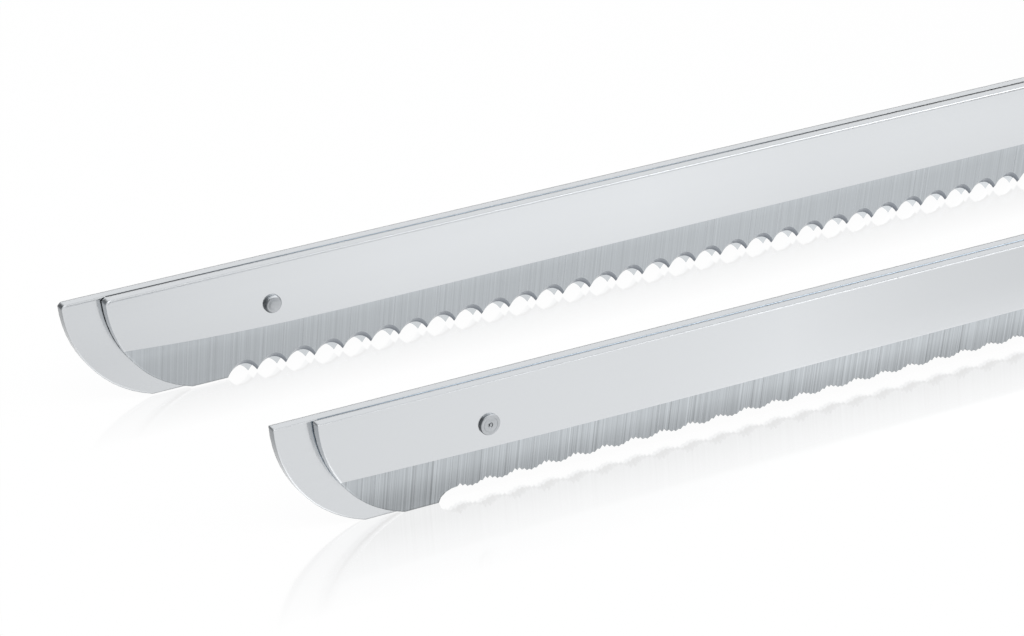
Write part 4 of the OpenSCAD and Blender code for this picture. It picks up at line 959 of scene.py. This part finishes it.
def round_over(d, r, size, n=6):
    """A quarter round from the side at distance d and radius r towards the axis."""
    angles = [TURN / 4 * i / n for i in range(n + 1)]
    return [(d + size * math.sin(a), r - size * (1 - math.cos(a))) for a in angles]


def turned(name, x, y, z, rings, node, body):
    """A rivet turned round an axis along Y: rings of (distance along -Y, radius), back to front."""
    loops = [[(u, y - d, v) for u, v in circle(r, 64, x, z)] for d, r in rings]
    obj = new_object(name, closed_loft(loops), "rivet_steel", 35)
    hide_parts(node)
    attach(obj, body)


# both rivets: flange behind the right blade, neck through both blades, head on the left one
NECK = [(-2.5, 1.45), (-2.3, 1.64), (-1.91, 1.64), (-1.9, 1.6), (-1.9, 1.0), (1.75, 1.0)]
DOME = [
    (1.75, 1.46), (1.95, 1.485), *round_over(1.98, 1.485, 0.42),
    (2.405, 0.98), (2.43, 0.84), (2.47, 0.6), (2.49, 0.35), (2.495, 0.15),
]
FLAT = [
    (1.75, 1.62), (2.05, 1.65), *round_over(2.05, 1.65, 0.13, 4),
    (2.18, 1.2), (2.165, 1.16), (2.165, 1.08), (2.18, 1.04),
    (2.18, 0.42), (2.08, 0.34), (2.08, 0.26), (2.28, 0.18), (2.29, 0.08),
]
COARSE_RIVET = (-235.7, 0, 11.7)
FINE_RIVET = (-226.8, -51.7, 11.4)
turned("carving_rivet_turned", *COARSE_RIVET, NECK + DOME, "carving_rivet", "left_drive")
turned("fine_rivet_turned", *FINE_RIVET, NECK + FLAT, "fine_rivet", "handle")


# Springs

SPRING_WIRE = 0.35  # radius
PER_TURN = 32
TRIGGER_SPRING = {"r": 2.2, "length": 6.655, "turns": 5, "keep": 0.84}
RELEASE_SPRING = {"r": 3.2, "length": 2.966, "turns": 3, "keep": 0.3}
TRIGGER_SPRING_FOOT = (54.0, 0, 10.317)
GUIDE_Y = 9.517  # the release springs stand on the carrier guide here


def spring(name, place, node, joint, axis, fixed, r, length, turns, keep):
    """A coil spring of round wire; joint, axis and fixed are not used."""
    count = PER_TURN * turns
    wire = circle(SPRING_WIRE, 10)
    rings = []
    for i in range(count + 1):
        a = TURN * i / PER_TURN
        rise = SPRING_WIRE + (length - 2 * SPRING_WIRE) * i / count
        along, across = math.cos(a), math.sin(a)
        rings.append([place((r + u) * along, (r + u) * across, rise + v) for u, v in wire])
    obj = new_object(name, closed_loft(rings), "spring_steel", 50)
    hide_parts(node)
    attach(obj, "handle")
    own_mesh(obj)


foot_x, foot_y, foot_z = TRIGGER_SPRING_FOOT
spring(
    "trigger_spring_coil",
    lambda u, v, w: (foot_x + u, foot_y + v, foot_z + w),
    "trigger_spring",
    "trigger_hinge",
    (0, 0, 1),
    (foot_x, foot_y, foot_z + TRIGGER_SPRING["length"]),
    **TRIGGER_SPRING,
)
for side, hand in ((-1, "left"), (1, "right")):
    spring(
        f"release_spring_{hand}_coil",
        lambda u, v, w: (BUTTON_X + u, side * (GUIDE_Y + w), DRIVE_Z + v),
        f"release_spring_{hand}",
        f"release_{hand}",
        (0, 1, 0),
        (BUTTON_X, side * GUIDE_Y, DRIVE_Z),
        **RELEASE_SPRING,
    )


# Collar and cap


def end_rings(station, steps, cols=96):
    """Rings on the section of one station, at (x, lift) steps."""
    turns = turns_between(station, 0, TURN, cols)[:-1]
    return [[skin_point(x, a, lift, station) for a in turns] for x, lift in steps]


def rounded_drop(x0, x1, deep, power, n):
    """A rounded drop of the skin from x0 to x1, as (x, lift) pairs after x0."""
    out = []
    for i in range(1, n + 1):
        t = math.sin(TURN / 4 * i / n)
        out.append((x0 + (x1 - x0) * t, -deep * (1 - math.sqrt(max(0, 1 - t * t))) ** power))
    return out


COLLAR_STEPS = [
    (-47.0, 0.0), (-47.15, 0.0), (-50, -0.75), (-53.2, -1.55), (-54.0, -1.85), (-54.6, -2.35),
    (-54.9, -2.85), (-55.0, -3.4),
]
# openings: y and z of two corners, corner radius, and where the cut starts
COLLAR_MOUTHS = (((-6.0, 5.9), (6.0, 15.9), 2.0, -60), ((-8.5, 4.3), (8.5, 17.5), 1.5, -53.5))
collar = new_object("nose_collar_shell", closed_loft(end_rings(FRONT, COLLAR_STEPS)), "trim_steel")
for low, high, radius, start in COLLAR_MOUTHS:
    cut = bmesh.new()
    mouth = rounded_rect(high[0] - low[0], high[1] - low[1], radius, *low)
    prism(cut, mouth, along_x, start, -40)
    boolean(collar, cut)
trim_underside(collar, -70, -30)
finish_cuts(collar, "trim_steel")
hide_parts("nose_collar")
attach(collar, "handle")

CAP_LIP, CAP_L = 0.25, 6.5
INLET_R, INLET_Z = 6.02, 28
cap_steps = [
    (REAR, -GROOVE),
    (REAR + CAP_LIP, 0.0),
    *rounded_drop(REAR + CAP_LIP, REAR + CAP_L, 5, 0.75, 12),
    (REAR + CAP_L, -7.0),
]
cap = new_object("rear_cap_shell", closed_loft(end_rings(REAR, cap_steps)), "housing_plastic")
cut = bmesh.new()
prism(cut, circle(INLET_R, 64, 0, INLET_Z), along_x, 160, 180)
boolean(cap, cut)
finish_cuts(cap, "housing_plastic")
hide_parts("rear_cap")
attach(cap, "handle")


# Trims and grip pad

STEP = LENGTH / 27
SPREAD = math.pi / 14
PATCH_EDGE = 0.8  # width of a patch's rounded border
RIB_EDGE = 1.6  # the ribs start this far inside
RIB_PITCH, RIB_DEPTH = 2.6, 0.55


def patch(step0, step1, middle, half, top, rows, cols, ribbed=False):
    """A raised patch of the skin with rounded borders, from the surface up to top."""
    x0, x1 = FRONT + step0 * STEP, FRONT + step1 * STEP
    turn0, turn1 = middle - half, middle + half
    outer, inner = [], []
    for r in range(rows + 1):
        s = r / rows
        x = x0 + (x1 - x0) * s
        row_o, row_i = [], []
        for c in range(cols + 1):
            q = c / cols
            a = turn0 + (turn1 - turn0) * q
            edge = min(min(s, 1 - s) * (x1 - x0), min(q, 1 - q) * (turn1 - turn0) * 16)
            d = min(1.0, edge / PATCH_EDGE)
            h = top * (0.35 + 0.65 * math.sqrt(max(0, 1 - (1 - d) ** 2)))
            if ribbed and edge > RIB_EDGE:
                h -= RIB_DEPTH * (0.5 - 0.5 * math.cos(TURN * (x - x0) / RIB_PITCH))
            row_o.append(skin_point(x, a, h))
            row_i.append(skin_point(x, a, -0.05))
        outer.append(row_o)
        inner.append(row_i)
    return grid_solid(outer, inner)


trims = bmesh.new()
for step0, step1 in ((2, 11), (16, 25)):
    part = patch(step0, step1, TURN / 4, SPREAD, top=0.7, rows=90, cols=26)
    mesh = bpy.data.meshes.new("part")
    part.to_mesh(mesh)
    part.free()
    trims.from_mesh(mesh)
    bpy.data.meshes.remove(mesh)
trim = new_object("top_trim_bands", trims, "trim_steel", 40)
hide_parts("top_trim")
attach(trim, "handle")

ribs = patch(16, 20, 3 * TURN / 4, 3 * SPREAD, top=1.2, rows=160, cols=60, ribbed=True)
pad = new_object("grip_pad_ribbed", ribs, "grip_rubber", 50)
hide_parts("grip_pad")
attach(pad, "handle")


# Soft edges on carried-over nodes


def soften(name, width):
    """Rounds a node's edges by width millimetres."""
    obj = nodes[name]
    data = obj.data
    if "custom_normal" in data.attributes:
        data.attributes.remove(data.attributes["custom_normal"])
    data.shade_smooth()
    weld = obj.modifiers.new("weld", "WELD")
    weld.merge_threshold = 1e-6
    flat = obj.modifiers.new("flat", "DECIMATE")
    flat.decimate_type = "DISSOLVE"
    flat.angle_limit = math.radians(0.6)
    bevel = obj.modifiers.new("bevel", "BEVEL")
    bevel.width = width * MM
    bevel.segments = 3
    bevel.limit_method = "ANGLE"
    bevel.angle_limit = math.radians(35)
    bevel.harden_normals = True
    bevel.miter_outer = "MITER_ARC"


EDGES = {
    0.6: ("trigger",),
    0.5: (
        "carving_shank_left", "carving_shank_right", "fine_shank_left", "fine_shank_right",
        "release_button_left", "release_button_right", "cord_inlet",
    ),
    0.35: ("lock_slider",),
    0.3: ("front_foot", "rear_foot", "blade_carrier_left", "blade_carrier_right"),
    0.2: ("trigger_bracket",),
}
for width, names in EDGES.items():
    for name in names:
        soften(name, width)


# Floor, backdrop and light

FLOOR_HALF = 4.0
# the polish of the table shows in front of each blade set and fades away from it, over Y
POLISH = (
    (-0.074, 0), (-0.0565, 0.2), (-0.052, 0.2), (-0.051, 0), (-0.0125, 0), (0, 0.17),
    (0.0025, 0.17), (0.0035, 0),
)
POLISH_ENDS = (-0.05, -0.08)  # and from none to all of it between these places along X


def direct_rays(tree):
    """1 for what the camera, a mirror or a glass sees, 0 for the light that falls on things."""
    path = tree.nodes.new("ShaderNodeLightPath")
    seen = path.outputs["Is Camera Ray"]
    for ray in ("Is Glossy Ray", "Is Transmission Ray"):
        either = tree.nodes.new("ShaderNodeMath")
        either.operation = "MAXIMUM"
        tree.links.new(seen, either.inputs[0])
        tree.links.new(path.outputs[ray], either.inputs[1])
        seen = either.outputs[0]
    return seen


def mixed(tree, factor, first, second):
    """The output of a mix of two shaders."""
    n = tree.nodes.new("ShaderNodeMixShader")
    if isinstance(factor, float):
        n.inputs[0].default_value = factor
    else:
        tree.links.new(factor, n.inputs[0])
    tree.links.new(first, n.inputs[1])
    tree.links.new(second, n.inputs[2])
    return n.outputs[0]


def floor_material():
    """A white table that keeps the object's shadow and mirrors it a little."""
    g = Graph("floor")
    g.set(Base_Color=(0.86, 0.86, 0.86), Roughness=0.5)
    lit = g.node("ShaderNodeBsdfDiffuse")
    lit.inputs["Color"].default_value = (0.95, 0.95, 0.95, 1)
    gloss = g.node("ShaderNodeBsdfGlossy")
    gloss.inputs["Roughness"].default_value = 0.1
    gloss.inputs["Color"].default_value = (1, 1, 1, 1)
    white = g.node("ShaderNodeEmission")
    white.inputs["Strength"].default_value = 1.0
    along, across = g.xyz(g.coord)[:2]
    polish = g.times(g.stops(across, -0.1, 0.02, greys(POLISH)), g.ramp(along, *POLISH_ENDS))
    shaded = mixed(g.tree, 0.05, white.outputs[0], lit.outputs[0])
    table = mixed(g.tree, polish, shaded, gloss.outputs[0])
    surface = mixed(g.tree, direct_rays(g.tree), g.shader.outputs[0], table)
    g.tree.links.new(surface, g.out.inputs["Surface"])
    return g.material


bm = bmesh.new()
corners = ((-1, -1), (1, -1), (1, 1), (-1, 1))
bm.faces.new([bm.verts.new((x * FLOOR_HALF, y * FLOOR_HALF, 0)) for x, y in corners])
floor = new_object("floor", bm)
floor.data.materials.append(floor_material())


def backdrop(tree, colour, strength):
    n = tree.nodes.new("ShaderNodeBackground")
    n.inputs["Color"].default_value = colour
    n.inputs["Strength"].default_value = strength
    return n.outputs[0]


world = bpy.data.worlds.new("studio")
scene.world = world
world.use_nodes = True
tree = world.node_tree
tree.nodes.clear()
out = tree.nodes.new("ShaderNodeOutputWorld")
soft_light = backdrop(tree, (0.97, 0.985, 1, 1), 0.55)
white_wall = backdrop(tree, (1, 1, 1, 1), 1.0)
tree.links.new(mixed(tree, direct_rays(tree), soft_light, white_wall), out.inputs["Surface"])


def area_light(name, location, target, size, power):
    data = bpy.data.lights.new(name, "AREA")
    data.shape = "RECTANGLE"
    data.size, data.size_y = size
    data.energy = power
    obj = bpy.data.objects.new(name, data)
    obj.location = location
    aim = Vector(target) - Vector(location)
    obj.rotation_euler = aim.to_track_quat("-Z", "Y").to_euler()
    scene.collection.objects.link(obj)


area_light("key", (-0.5, -0.7, 1.3), (-0.05, 0, 0), (1.2, 0.8), 9)
area_light("fill", (0.9, -0.8, 0.9), (0.0, 0, 0.03), (0.9, 0.9), 4)
area_light("back", (-1.3, 0.5, 1.0), (0.0, 0, 0.03), (0.9, 0.5), 5)
